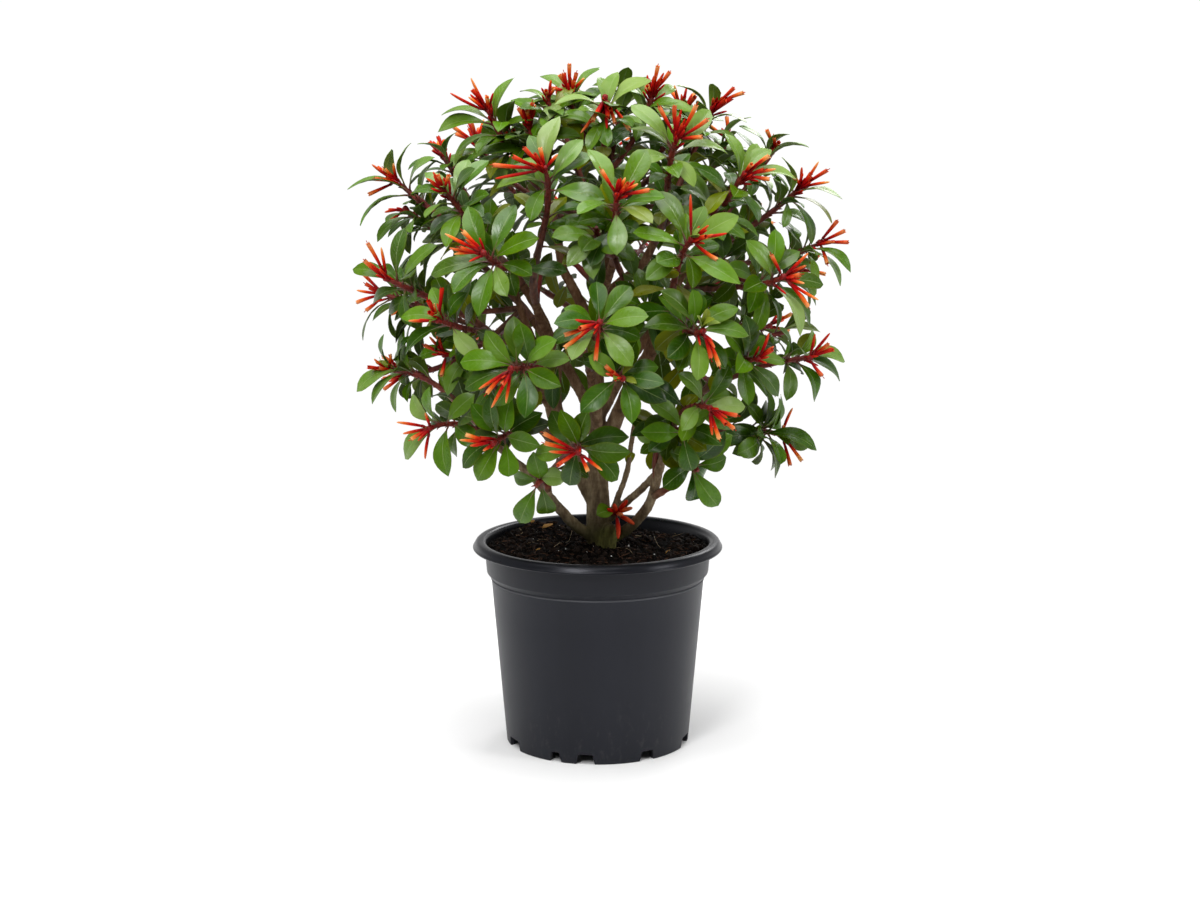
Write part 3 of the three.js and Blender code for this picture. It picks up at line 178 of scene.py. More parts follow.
# The shoots that the front view shows, for each leafy branch: the shoot's node, then the tips of
# its leaves and of its flowers, each as (right, up) from the node in the front view. A shoot whose
# flowers are still buds says so, and so does one with young leaves at its tip.
FRONT_SHOOTS = {
    "top_left": [
        ((-103, -37, 645), [(-53, 8), (-57, -9), (20, 45), (1, 27)],
         [(-43, 31), (-22, 46), (-25, 27), (-15, 32), (-6, 27)]),
        ((-65, -46, 631), [(-40, 12), (30, 34), (-20, -30)], [(-13, 30), (-5, 28), (-1, 35), (4, 34)]),
        ((-47, -33, 658), [(-31, 18), (-47, 4), (33, -32), (-15, -27), (24, 30)],
         [(-4, 20), (5, 22)], "bud"),
        ((-86, -23, 621), [(-12, -38), (-38, -10), (-30, 24)], [(3, 18), (-4, 16)], "bud"),
    ],
    "left_upper": [
        ((-194, 0, 577), [(-13, 42), (6, 48), (30, 34), (-58, 2), (-46, -35)],
         [(-34, 27), (-22, 23), (-12, 28), (-32, 12), (-38, -4)]),
        ((-141, -117, 576), [(-37, 6), (16, 37), (36, 36), (-27, 24), (-24, -16)],
         [(-21, 20), (-12, 24), (-1, 24)]),
        ((-153, 30, 601), [(10, 34), (-30, 22), (-40, -4), (34, 14)], [(-12, 24), (-5, 24), (-16, 14)]),
        ((-187, 22, 548), [(-38, -24), (20, 34), (-8, -40)], [(-30, -8), (-33, 4)], "bud"),
    ],
    "left_front": [
        ((-47, -162, 598), [(11, 58), (-18, 40), (33, 36), (-48, -8), (-16, -38), (42, 22), (54, -18)],
         [(-52, 14), (-50, 1), (-22, 30), (-33, 22), (-7, 30), (10, 24)]),
        ((-101, -184, 524), [(-21, 49), (24, 50), (46, 22), (-57, -16), (-11, -52), (17, -32),
          (-34, -30)],
         [(-42, 26), (-38, 12), (-25, 28), (-34, 6)]),
    ],
    "left_middle": [
        ((-197, -81, 490), [(6, 54), (-46, 13), (40, 40), (-18, 16), (14, -40)],
         [(-28, 42), (-15, 38), (-32, 25)]),
        ((-209, 24, 464), [(-33, -42), (2, -45), (-40, 30), (26, -36)],
         [(-36, 26), (-32, 14), (-42, 7), (-42, -6), (-32, -14)]),
        ((-143, -164, 461), [(-16, 32), (20, 32), (-42, -32), (30, -30), (-46, 4)],
         [(-4, 36), (-13, 20), (-37, 4)]),
        ((-142, -32, 413), [(-14, -44), (-42, -6), (26, -34), (20, 34)],
         [(-33, 11), (-28, 20), (-20, 24), (-16, -20)], "bud"),
    ],
    "left_lower": [
        ((-203, 0, 392), [(-15, 40), (14, 38), (-44, -20), (-28, -32), (-4, -40)],
         [(-26, 14), (-30, 4), (-8, 20)]),
        ((-154, -105, 354), [(-30, 27), (-10, 40), (34, 32), (-38, -38), (7, -50)],
         [(-44, 4), (-38, -8), (-30, -14), (-15, 14), (-16, -34)]),
        ((-93, -161, 350), [(-9, 43), (-38, -32), (-24, -45), (6, -42), (38, -4), (11, 43)],
         [(-40, 0), (-34, 5), (-30, -6), (-17, -10)]),
    ],
    "bottom_front": [
        ((-57, -133, 303), [(-20, -46), (7, -38), (26, 6), (-5, 32), (-26, 0)], []),
        ((-17, -184, 346), [(-18, 38), (8, 38), (48, -3), (36, -36), (-10, -42), (-43, -11)],
         [(-35, 15), (-34, 5), (-30, -3), (8, -22), (22, -22)]),
    ],
    "centre_front": [
        ((2, -223, 467), [(-3, 38), (-42, 4), (29, 34), (45, 10), (30, -36), (-26, -30)],
         [(-30, 6), (-33, -8), (-33, -20), (-4, -32)]),
        ((-76, -201, 423), [(-3, 48), (-30, 34), (-54, 4), (-50, -22), (8, -44), (42, -14), (38, 29)],
         [(-36, -18), (-28, -22), (-24, -36), (-10, -32)]),
        ((22, -213, 416), [(40, -2), (10, -40), (-38, -30), (14, 38), (-30, 24)],
         [(-15, 14), (-8, 8)], "bud"),
    ],
    "top": [
        ((-26, -20, 663), [(-32, 28), (28, 37), (-50, -6), (34, -12)],
         [(-2, 41), (-12, 30), (-22, 17), (5, 32), (13, 27)]),
        ((7, -73, 659), [(-49, 6), (-5, 32), (46, 29), (3, -34), (-16, -40), (13, 37)],
         [(-24, -22), (24, -18), (-12, -10), (10, -12)]),
        ((52, -15, 662), [(26, 18), (-34, 20), (44, -6), (-14, -34)], [(8, 40), (20, 34), (-3, 20)]),
        ((25, 15, 664), [(-30, 18), (26, 26), (6, 36)], [(-3, 18), (3, 14), (9, 12)], "bud"),
    ],
    "upper_front": [
        ((17, -185, 576), [(-26, 50), (29, 50), (-36, -8), (34, -16), (1, -46)],
         [(-14, 33), (9, 26), (21, 20), (32, 14)]),
        ((-1, -141, 545), [(-38, 10), (-28, -30), (-3, -42), (36, -24)], []),
        ((51, -118, 465), [(-34, -22), (30, -34), (10, 36)], []),
    ],
    "right_top": [
        ((72, -123, 623), [(-40, 42), (-40, 20), (36, 38), (54, -5), (20, -34), (-38, -10)],
         [(-14, 42), (1, 43), (22, 44), (33, 30), (28, 13)]),
        ((111, 0, 648), [(-32, 34), (4, 36), (38, -2), (-24, -30)], [(26, 32), (36, 27), (5, 22)]),
        ((127, 21, 616), [(-34, 18), (28, 34), (40, -12)], [(5, 34), (-12, 24), (0, 22)], "bud"),
    ],
    "right_upper": [
        ((135, -108, 590), [(20, 38), (34, 32), (-12, 48), (58, 4), (-30, -28)],
         [(30, 28), (37, 15), (13, 20), (31, 5)]),
        ((172, 0, 608), [(-30, 34), (20, 26), (40, 13), (-18, -36)],
         [(-2, 30), (5, 24), (10, 18)], "bud"),
        ((197, 0, 571), [(50, -2), (40, -26), (20, -48), (-10, -30), (-12, 40)],
         [(26, 36), (35, 27), (38, 15), (9, 30), (1, 20)]),
        ((112, -91, 560), [(-32, 26), (10, -42), (40, 14)], []),
        ((215, 0, 517), [(42, -22), (32, -36), (4, -36), (-12, 36)],
         [(28, 30), (36, 20), (40, 8), (18, -14)]),
        ((169, -131, 497), [(-27, 42), (3, 50), (50, -4), (26, -50), (-18, -46), (38, -46)],
         [(44, -16), (34, -23), (30, 0), (33, 30), (-3, 28)]),
    ],
    "right_front": [
        ((83, -187, 537), [(-30, 50), (-50, 14), (18, 36), (50, 27), (5, -38), (-38, -30), (50, -34)],
         [(3, 50), (38, 13), (29, -12)]),
        ((93, -198, 456), [(-35, 42), (-50, 8), (0, -42), (50, -4), (40, 22), (6, 34)],
         [(21, -30), (13, -22)], "bud", "young"),
    ],
    "right_lower": [
        ((145, -134, 422), [(-36, -12), (5, 34), (38, -6), (32, -38), (-24, 30)], [(20, 28)], "bud"),
        ((200, -55, 412), [(50, -5), (45, -25), (20, -46), (18, 26), (-20, 34)],
         [(32, 28), (36, 11), (17, 27), (25, -16)]),
        ((188, 34, 426), [(30, 30), (42, 4), (-10, 40)], []),
    ],
    "low_right": [
        ((178, -11, 330), [(-52, -1), (-40, -20), (3, -44), (42, -18), (-26, 32), (8, 32)],
         [(22, 27), (12, 10), (20, -34), (32, -29)]),
        ((94, -113, 314), [(-30, -18), (34, 4), (0, -40), (26, -44), (-24, 18)], []),
        ((100, -177, 384), [(-24, 34), (26, 36), (42, -4), (-20, -20)],
         [(16, -31), (30, -21), (33, -8), (9, -27)]),
        ((83, -161, 356), [(-42, 3), (-34, 32), (9, -42)], []),
    ],
}

# The hidden side grows by rule: seeded shoots spread evenly over the crown behind the front ones.
BACK_SEED = 4127
BACK_BRANCHES = {
    "back_left": {"azimuth": 150, "height": 440, "from": (3, 1, 330)},
    "back_right": {"azimuth": 32, "height": 440, "from": (3, 1, 345)},
    "back_middle": {"azimuth": 96, "height": 420, "from": (2, 2, 361)},
    "back_top": {"azimuth": 88, "height": 530, "from": (0, 0, 470)},
}
BACK_REACH = 78
BACK_SHOOTS = 25
BACK_LEAVES = 4
BACK_FLOWERS = 5
# Where the shoots begin and how far they spread, round the crown in degrees and down it as a share
BACK_ARC = (8, 164)
BACK_LEVELS = (0.94, 1.56)
# Each pair is the least that is drawn, and how much more at most: of the crown's size, a lean, a length
BACK_SIZES = (0.93, 0.07)
BACK_LEAF_LEANS = (1.35, 0.35)
BACK_LEAF_LENGTHS = (0.85, 0.15)
BACK_FLOWER_LEANS = (0.35, 0.4)
BACK_FLOWER_LENGTHS = (0.9, 0.3)
GOLDEN_TURN = 0.618034
# The draws' rule: each state is the last one times the factor, modulo a prime.
DRAW_FACTOR = 16807
DRAW_PRIME = 2147483647


def seeded_draws(seed):
    """Numbers from low to high by a plain 31-bit congruential rule, the same each time."""
    state = seed

    def draw(low=0.0, high=1.0):
        nonlocal state
        state = (state * DRAW_FACTOR) % DRAW_PRIME
        return low + (high - low) * state / DRAW_PRIME

    return draw


def clamped(value, low, high):
    return max(low, min(high, value))


# Where the shoots are
def outward_at(node):
    off = node - CROWN_CENTRE
    return Vector([off[i] / CROWN_RADII[i] ** 2 for i in range(3)]).normalized()


def shoot_axis(node):
    return (outward_at(node) + SHOOT_RISE * UP).normalized()


def rim_share(node):
    """0 for a shoot in the middle of the front or back view, 1 for one on the crown's outline."""
    off = node - CROWN_CENTRE
    return min(math.hypot(off.x / CROWN_RADII.x, off.z / CROWN_RADII.z), 1) ** 2


def tip_from_view(seen_tip, axis, full_length, lean):
    """A tip that the front view shows, with the depth that its length leaves, as suits its lean."""
    right, up = seen_tip
    seen = math.hypot(right, up)
    length = max(seen * SEEN_STRETCH, seen + LENGTH_SHARE * (full_length - seen))
    depth = math.sqrt(length * length - seen * seen)
    near, far = Vector((right, -depth, up)), Vector((right, depth, up))
    return min(near, far, key=lambda tip: abs(tip.dot(axis) / length - lean))


def front_shoots():
    shoots = []
    for branch, rows in FRONT_SHOOTS.items():
        for place, leaves, flowers, *kind in rows:
            node = Vector(place)
            axis = shoot_axis(node)
            shoots.append(SimpleNamespace(
                branch=branch, node=node, axis=axis, bud="bud" in kind, young="young" in kind,
                facing=axis + FRONT_PULL * clamped(SIDE_PULL - node.y / PULL_DEPTH, 0, 1),
                leaves=[tip_from_view(tip, axis, LEAF_LENGTH, LEAF_LEAN) for tip in leaves],
                flowers=[tip_from_view(tip, axis, FLOWER_LENGTH, FLOWER_LEAN) for tip in flowers],
            ))
    return shoots


def sideways_of(axis):
    return axis.cross(Vector((1, 0, 0)) if abs(axis.z) > 0.9 else UP).normalized()


def around(axis, turn, lean, length):
    side = sideways_of(axis)
    other = side.cross(axis)
    off = side * math.cos(turn) + other * math.sin(turn)
    return (axis * math.cos(lean) + off * math.sin(lean)) * length


def back_branch_end(rule):
    angle = math.radians(rule["azimuth"])
    return Vector((math.cos(angle) * BACK_REACH, math.sin(angle) * BACK_REACH, rule["height"]))


def back_shoots():
    draw = seeded_draws(BACK_SEED)
    ends = {branch: back_branch_end(rule) for branch, rule in BACK_BRANCHES.items()}

    def drawn(least_and_more):
        least, more = least_and_more
        return least + more * draw()

    def tips(count, turn_step, leans, full_length, lengths):
        made = []
        for i in range(count):
            lean = drawn(leans)
            made.append(around(axis, first_turn + i * turn_step, lean, full_length * drawn(lengths)))
        return made

    shoots = []
    for k in range(BACK_SHOOTS):
        azimuth = math.radians(BACK_ARC[0] + BACK_ARC[1] * (k * GOLDEN_TURN % 1))
        level = BACK_LEVELS[0] - BACK_LEVELS[1] * (k + 0.5) / BACK_SHOOTS
        spread = math.sqrt(1 - level * level)
        unit = Vector((math.cos(azimuth) * spread, math.sin(azimuth) * spread, level)) * drawn(BACK_SIZES)
        node = CROWN_CENTRE + Vector([unit[i] * CROWN_RADII[i] for i in range(3)])
        axis = shoot_axis(node)
        first_turn = draw() * FULL_TURN
        leaves = tips(BACK_LEAVES, FULL_TURN * GOLDEN_TURN, BACK_LEAF_LEANS, LEAF_LENGTH, BACK_LEAF_LENGTHS)
        flowers = tips(BACK_FLOWERS, FULL_TURN / BACK_FLOWERS,
                       BACK_FLOWER_LEANS, FLOWER_LENGTH, BACK_FLOWER_LENGTHS)
        # Of each three shoots, one flowers, one has buds and one has leaves alone.
        shoots.append(SimpleNamespace(
            branch=min(ends, key=lambda name: (ends[name] - node).length),
            node=node, axis=axis, facing=axis, bud=k % 3 == 1, young=False,
            leaves=leaves, flowers=[] if k % 3 == 2 else flowers,
        ))
    return shoots


# Curves that the wood follows
def bezier(a, b, c, d):
    def at(t):
        u = 1 - t
        return a * u ** 3 + b * (3 * u * u * t) + c * (3 * u * t * t) + d * t ** 3
    return at


def through(points):
    """A curve through the points that turns smoothly at each of them."""
    ends = [2 * points[0] - points[1], *points, 2 * points[-1] - points[-2]]
    spans = len(points) - 1

    def at(t):
        span = min(int(t * spans), spans - 1)
        w = t * spans - span
        before, start, end, after = ends[span:span + 4]
        leave, arrive = (end - before) / 2, (after - start) / 2
        return (
            start * (2 * w ** 3 - 3 * w * w + 1) + leave * (w ** 3 - 2 * w * w + w)
            + end * (3 * w * w - 2 * w ** 3) + arrive * (w ** 3 - w * w)
        )
    return at


def sampled(curve, steps):
    return [curve(i / steps) for i in range(steps + 1)]


def span_at(share, points):
    """Which of the straight pieces between the points a share of the way lies in, and how far in."""
    along = share * (len(points) - 1)
    span = min(int(along), len(points) - 2)
    return span, along - span


def run_of(owner, curve, radius_at, steps):
    """Wood as a plain run for the crossing test, with the curve that its fine tube follows."""
    return SimpleNamespace(owner=owner, curve=curve, points=sampled(curve, steps),
                           radii=sampled(radius_at, steps), radius_at=radius_at)


def limb_run(owner, stations, steps):
    def radius_at(t):
        span, share = span_at(t, stations)
        return stations[span][3] + (stations[span + 1][3] - stations[span][3]) * share
    return run_of(owner, through([Vector(station[:3]) for station in stations]), radius_at, steps)


def tapered_run(owner, curve, first, last, steps):
    return run_of(owner, curve, lambda t: first + (last - first) * t, steps)


def end_direction(run):
    return (run.points[-1] - run.points[-2]).normalized()


def piece_distance(p, q, r, s):
    """The least distance between two straight pieces, p to q and r to s."""
    d1, d2, w = q - p, s - r, p - r
    a, e, f, c, b = d1.dot(d1), d2.dot(d2), d2.dot(w), d1.dot(w), d1.dot(d2)
    span = a * e - b * b
    along = clamped((b * f - c * e) / span, 0, 1) if span > 1e-9 else 0
    other = (b * along + f) / e
    if other < 0 or other > 1:
        other = clamped(other, 0, 1)
        along = clamped((b * other - c) / a, 0, 1)
    return (p + d1 * along - r - d2 * other).length


def runs_clear(one, two):
    for i in range(1, len(one.points)):
        for j in range(1, len(two.points)):
            reach = one.radii[i - 1] + two.radii[j - 1] + CLEARANCE
            if piece_distance(one.points[i - 1], one.points[i], two.points[j - 1], two.points[j]) < reach:
                return False
    return True


def main_run(branch, limb, shoot):
    leave = end_direction(limb)
    start = limb.points[-1] + leave * GAP
    end = shoot.node + shoot.axis * SHOOT_END
    reach = (end - start).length / 3
    curve = bezier(start, start + leave * reach, end - shoot.axis * reach, end)
    return tapered_run(branch, curve, BRANCH_RADIUS, TWIG_RADII[1], BRANCH_STEPS)


def twig_run(branch, main, shoot, bend):
    """A twig from its branch's main run, whose knee each bend puts further to one side."""
    gaps = [(point - shoot.node).length for point in main.points]
    share = clamped(gaps.index(min(gaps)) / (len(gaps) - 1) - FORK_BACK, *FORK_SHARES)
    span, rest = span_at(share, main.points)
    fork = main.points[span].lerp(main.points[span + 1], rest)
    end = shoot.node + shoot.axis * SHOOT_END
    reach = (end - fork).length
    knee = end - shoot.axis * KNEE_BACK * reach + sideways_of(shoot.axis) * bend * KNEE_SIDE * reach
    curve = bezier(fork, fork.lerp(knee, START_PULL), end - shoot.axis * END_PULL * reach, end)
    return tapered_run(branch, curve, *TWIG_RADII, TWIG_STEPS)


BENDS = [0, 1, -1, 2, -2, 3, -3, 4, -4]
BACK_LIMB_RADII = (6, 5.4, 4.4)
BACK_KNEE_RISE = 8


def grow_wood(shoots):
    """Gives each shoot its run of wood, bent clear of the other branches, and returns the limbs."""
    stem = limb_run("trunk_and_limbs", TRUNK, TRUNK_STEPS)
    limbs = {name: limb_run("trunk_and_limbs", stations, LIMB_STEPS) for name, stations in LIMBS.items()}
    for name, rule in BACK_BRANCHES.items():
        start, end = Vector(rule["from"]), back_branch_end(rule)
        stops = (start, start.lerp(end, 0.5) + UP * BACK_KNEE_RISE, end)
        stations = [(*stop, radius) for stop, radius in zip(stops, BACK_LIMB_RADII)]
        limbs[name] = limb_run("trunk_and_limbs", stations, LIMB_STEPS)
    trunk_and_limbs = [stem, *limbs.values()]
    limbs["top"] = stem
    wood = list(trunk_and_limbs)
    mains = {}
    for shoot in shoots:
        shoot.run = None
        if shoot.branch not in mains:
            shoot.run = main_run(shoot.branch, limbs[shoot.branch], shoot)
            mains[shoot.branch] = shoot.run
            wood.append(shoot.run)
    for shoot in shoots:
        if shoot.run:
            continue
        others = [run for run in wood if run.owner != shoot.branch]
        for bend in BENDS:
            run = twig_run(shoot.branch, mains[shoot.branch], shoot, bend)
            if all(runs_clear(run, other) for other in others):
                shoot.run = run
                wood.append(run)
                break
    return trunk_and_limbs


# Meshes: one piece gathers its corners in millimetres, then becomes a Blender object in metres.
class Piece:
    def __init__(self, name):
        self.name = name
        self.points, self.faces, self.slots = [], [], []
        self.tones, self.places = [], []
        self.count = 0

    def add(self, points, faces, tone=(0, 0, 0), places=None, slot=0):
        """tone is one triple, or one for each corner. places are (across, along) for a leaf's veins."""
        total = len(points)
        self.points.append(np.array([tuple(point) for point in points], float))
        self.tones.append(np.broadcast_to(np.asarray(tone, float), (total, 3)))
        self.places.append(np.zeros((total, 2)) if places is None else np.asarray(places, float))
        self.faces.extend(tuple(corner + self.count for corner in face) for face in faces)
        self.slots.extend([slot] * len(faces) if isinstance(slot, int) else slot)
        self.count += total

    def make(self, materials, finish, node_names=(), sharp=50):
        mesh = bpy.data.meshes.new(self.name)
        mesh.from_pydata((np.concatenate(self.points) * MM).tolist(), [], self.faces)
        for material in materials:
            mesh.materials.append(material)
        mesh.polygons.foreach_set("material_index", self.slots)
        tones = np.ones((self.count, 4), np.float32)
        tones[:, :3] = np.concatenate(self.tones)
        layer = mesh.color_attributes.new("tone", "FLOAT_COLOR", "POINT")
        layer.data.foreach_set("color", tones.ravel())
        corners = np.zeros(len(mesh.loops), np.int32)
        mesh.loops.foreach_get("vertex_index", corners)
        places = np.concatenate(self.places)[corners].astype(np.float32)
        mesh.uv_layers.new(name="place").uv.foreach_set("vector", places.ravel())
        mesh.polygons.foreach_set("use_smooth", [True] * len(mesh.polygons))
        mesh.set_sharp_from_angle(angle=math.radians(sharp))
        settle(self.name, mesh, node_names)


def placed(name, data):
    """A new object in the scene, of a mesh, a light or a camera."""
    made = bpy.data.objects.new(name, data)
    bpy.context.scene.collection.objects.link(made)
    return made


def settle(name, mesh, node_names=()):
    """Puts a finished piece in the scene, on the plant's body, in place of its plain solids."""
    piece = placed(name, mesh)
    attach(piece, "root")
    if node_names:
        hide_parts(*node_names)


def draft_of(name, shape):
    """An object for modifiers to work on, from a shape that isn't needed any more."""
    mesh = bpy.data.meshes.new(name)
    shape.to_mesh(mesh)
    shape.free()
    return placed(name, mesh)


def finished(draft, material):
    """The draft's mesh with its modifiers applied, smooth and in its material. The draft goes."""
    bpy.context.view_layer.update()
    mesh = bpy.data.meshes.new_from_object(draft.evaluated_get(bpy.context.evaluated_depsgraph_get()))
    bpy.data.objects.remove(draft)
    mesh.polygons.foreach_set("use_smooth", [True] * len(mesh.polygons))
    mesh.materials.clear()
    mesh.materials.append(material)
    return mesh


def grid_faces(rows, columns, first=0, flip=False):
    faces = []
    for row in range(rows):
        for column in range(columns):
            here = first + row * (columns + 1) + column
            face = (here, here + 1, here + columns + 2, here + columns + 1)
            faces.append(face[::-1] if flip else face)
    return faces


def rim_faces(rim, count):
    """Faces that join a sheet's rim to the rim of the sheet under it, whose corners follow count later."""
    return [(here + count, there + count, there, here) for here, there in zip(rim, rim[1:] + rim[:1])]


def ring_faces(rings, sides):
    """Faces of a skin over rings of corners that run the same way round, with both ends capped."""
    faces = []
    for ring in range(rings - 1):
        for k in range(sides):
            here, there = ring * sides + k, ring * sides + (k + 1) % sides
            faces.append((here, there, there + sides, here + sides))
    faces.append(tuple(range(sides))[::-1])
    faces.append(tuple(range((rings - 1) * sides, rings * sides)))
    return faces


def turns_of(count):
    return [k / count * FULL_TURN for k in range(count)]


def ring_at(centre, side, other, radii):
    """Corners round a centre, one for each radius."""
    turns = turns_of(len(radii))
    return [centre + (side * math.cos(a) + other * math.sin(a)) * r for a, r in zip(turns, radii)]


def tube(points, radii, sides, relief=None):
    """Corners and faces of a round tube along the points. relief scales the radius at (point, turn)."""
    points = [Vector(point) for point in points]
    last = len(points) - 1
    side = None
    corners = []
    for i, point in enumerate(points):
        tangent = (points[min(i + 1, last)] - points[max(i - 1, 0)]).normalized()
        side = sideways_of(tangent) if side is None else (side - tangent * side.dot(tangent)).normalized()
        ring = [radii[i]] * sides
        if relief:
            ring = [radii[i] * relief(point, turn) for turn in turns_of(sides)]
        corners.extend(ring_at(point, side, tangent.cross(side), ring))
    return corners, ring_faces(len(points), sides)


def row_tube(rows, at, sides):
    """A round tube through rows of (how far, radius), where at gives the place for how far."""
    return tube([at(far) for far, _ in rows], [radius for _, radius in rows], sides)


# Leaf: a thin blade, broadest past its middle, folded along its rib and arched from root to point
LEAF_ROWS = 10
LEAF_COLUMNS = 6
BLADE_THICKNESS = 0.45
# How the blade fills out from its root, and the range of how it narrows to its point
LEAF_SWELL = (1.3, 0.6, 0.95)
LEAST_FULLNESS = 0.02
# A blade's face looks so far along its shoot's axis and so far up, then rolls by a draw in radians.
LEAF_FACING = (0.8, 0.5)
LEAF_ROLL = 0.35
# Ranges, as shares of the blade's half width, and the sway as a share of its length
LEAF_FOLDS = (0.16, 0.42)
LEAF_CURLS = (0.05, 0.2)
LEAF_WAVES = (0.02, 0.07)
LEAF_SWAY = 0.06
WAVE_COUNT = 3.2
# The waves of a blade's two sides are this far out of step, and a folded blade is this much narrower.
WAVE_SHIFT = 0.9
FOLD_NARROWING = 0.12
# Leaves are wider below this height, and the change takes so many millimetres.
LOW_LEAF_TOP = 300
LOW_LEAF_FADE = 100
PETIOLE_SHARE = 0.12
LEAF_ALONG = np.linspace(0, 1, LEAF_ROWS + 1) ** 0.92
LEAF_ACROSS = np.linspace(-1, 1, LEAF_COLUMNS + 1)
LEAF_PLACES = np.stack(
    np.broadcast_arrays(0.5 + 0.5 * LEAF_ACROSS[None, :], LEAF_ALONG[:, None]), -1).reshape(-1, 2)
# The rib under the blade: how far along, its radius
RIB = [(0, 1.5), (0.06, 1.2), (0.12, 1.0), (0.3, 0.62), (0.5, 0.5), (0.7, 0.36), (0.86, 0.22)]
RIB_SUNK = 0.3
# Where along it the maroon stalk starts to turn green, and how fast
RIB_GREEN_FROM = 0.1
RIB_GREENING = 2.6
RIB_SIDES = 4


def leaf_fullness(along, fall):
    """A leaf's half width, as a share of its widest, at each place along the blade."""
    rise = LEAF_SWELL[0]
    widest = rise / (rise + fall)
    peak = widest ** rise * (1 - widest) ** fall
    return np.maximum(along ** rise * (1 - along) ** fall / peak, LEAST_FULLNESS)


def leaf_faces():
    """Faces of the blade's upper side, its under side and its rim, with the material of each."""
    count = (LEAF_ROWS + 1) * (LEAF_COLUMNS + 1)
    wide = LEAF_COLUMNS + 1
    rim = list(range(wide))
    rim += [row * wide + LEAF_COLUMNS for row in range(1, LEAF_ROWS + 1)]
    rim += [LEAF_ROWS * wide + column for column in range(LEAF_COLUMNS - 1, -1, -1)]
    rim += [row * wide for row in range(LEAF_ROWS - 1, 0, -1)]
    upper = grid_faces(LEAF_ROWS, LEAF_COLUMNS)
    under = grid_faces(LEAF_ROWS, LEAF_COLUMNS, count, flip=True)
    edge = rim_faces(rim, count)
    return upper + under + edge, [0] * len(upper) + [1] * len(under) + [0] * len(edge)


LEAF_FACES, LEAF_SLOTS = leaf_faces()


def between(ends, share):
    return ends[0] + (ends[1] - ends[0]) * share


def add_leaf(blades, wood, root, tip, axis, tone, draw, width=None):
    out = rim_share(tip)
    arch = between(LEAF_ARCHES, out)
    if not width:
        height = clamped((tip.z - LOW_LEAF_TOP) / LOW_LEAF_FADE, 0, 1)
        width = between((LOW_LEAF_WIDTH, between(LEAF_WIDTHS, out)), height)
    along = tip - root
    length = along.length
    along.normalize()
    face = axis * LEAF_FACING[0] + UP * LEAF_FACING[1]
    face = (face - along * face.dot(along)).normalized()
    face.rotate(Quaternion(along, draw(-LEAF_ROLL, LEAF_ROLL)))
    side = along.cross(face)
    half = min(width * length, WIDEST_LEAF) / 2
    fold, curl = draw(*LEAF_FOLDS), draw(*LEAF_CURLS)
    wave, phase = draw(*LEAF_WAVES) * half, draw(0, FULL_TURN)
    sway = draw(-LEAF_SWAY, LEAF_SWAY) * length
    s = PETIOLE_SHARE + (1 - PETIOLE_SHARE) * LEAF_ALONG[:, None]
    t = LEAF_ACROSS[None, :]
    fullness = leaf_fullness(LEAF_ALONG, draw(*LEAF_SWELL[1:]))[:, None] * half
    lift = arch * length * 4 * s * (1 - s) + fullness * (fold * np.abs(t) - curl * t * t)
    lift = lift + wave * np.abs(t) * np.sin(WAVE_COUNT * math.pi * s + phase + WAVE_SHIFT * np.sign(t))
    across = fullness * t * (1 - FOLD_NARROWING * fold) + sway * 4 * s * (1 - s)
    ahead = np.broadcast_to(s * length, lift.shape)
    frame_of = np.array([tuple(along), tuple(side), tuple(face)])
    top = np.stack([ahead, across, lift], -1).reshape(-1, 3) @ frame_of + np.array(tuple(root))
    under = top - frame_of[2] * BLADE_THICKNESS
    places = np.concatenate([LEAF_PLACES, LEAF_PLACES])
    blades.add(np.concatenate([top, under]), LEAF_FACES, tone, places, LEAF_SLOTS)
    # The rib starts as the stalk and tapers away under the blade.
    stops, tones = [], []
    for share, _ in RIB:
        bow = 4 * share * (1 - share)
        sunk = RIB_SUNK if share > PETIOLE_SHARE else 0
        stops.append(
            root + along * share * length + face * (arch * length * bow - sunk) + side * sway * bow)
        greenness = clamped((share - RIB_GREEN_FROM) * RIB_GREENING, 0, 1)
        tones.extend([(greenness, *tone[:2])] * RIB_SIDES)
    wood.add(*tube(stops, [radius for _, radius in RIB], RIB_SIDES), tones, slot=1)


# Flower: a slim tube on a short stalk, with a calyx, that widens to five small lobes.
# Each row is how far along the flower, and the radius there.
FLOWER_SIDES = 10
STALK = [(0, 0.95), (0.08, 0.8), (0.14, 0.8), (0.18, 1.0)]
CALYX = [(0.16, 0.9), (0.21, 1.5), (0.27, 1.65)]
OPEN_TUBE = [(0.19, 1.1), (0.32, 1.4), (0.48, 1.65), (0.64, 1.85), (0.8, 2.05), (0.92, 2.2), (0.965, 2.05)]
BUD_TUBE = [(0.19, 1.1), (0.32, 1.4), (0.48, 1.6), (0.64, 1.6), (0.8, 1.4), (0.92, 1.0), (0.975, 0.4)]
MOUTH_SHARE, MOUTH_OPENING = OPEN_TUBE[-1]
# How far the tube bows sideways at most, and how far its lobes reach, as shares of its length
FLOWER_BOW = 0.05
LOBE_REACH = 0.035
LOBE_DIP = 0.4
LOBE_FLARES = (0.1, 0.7)
# Inside the mouth: depth, share of the mouth's radius, and how far along its colour is
THROAT = [(1.2, 0.72, 0.75), (4.5, 0.6, 0.3)]
# The style stands out of some of the open mouths, by so many millimetres.
STYLE_SHARE = 0.5
STYLE_REACH = (1, 3.5)
STYLE_RADII = [0.4, 0.35, 0.45]


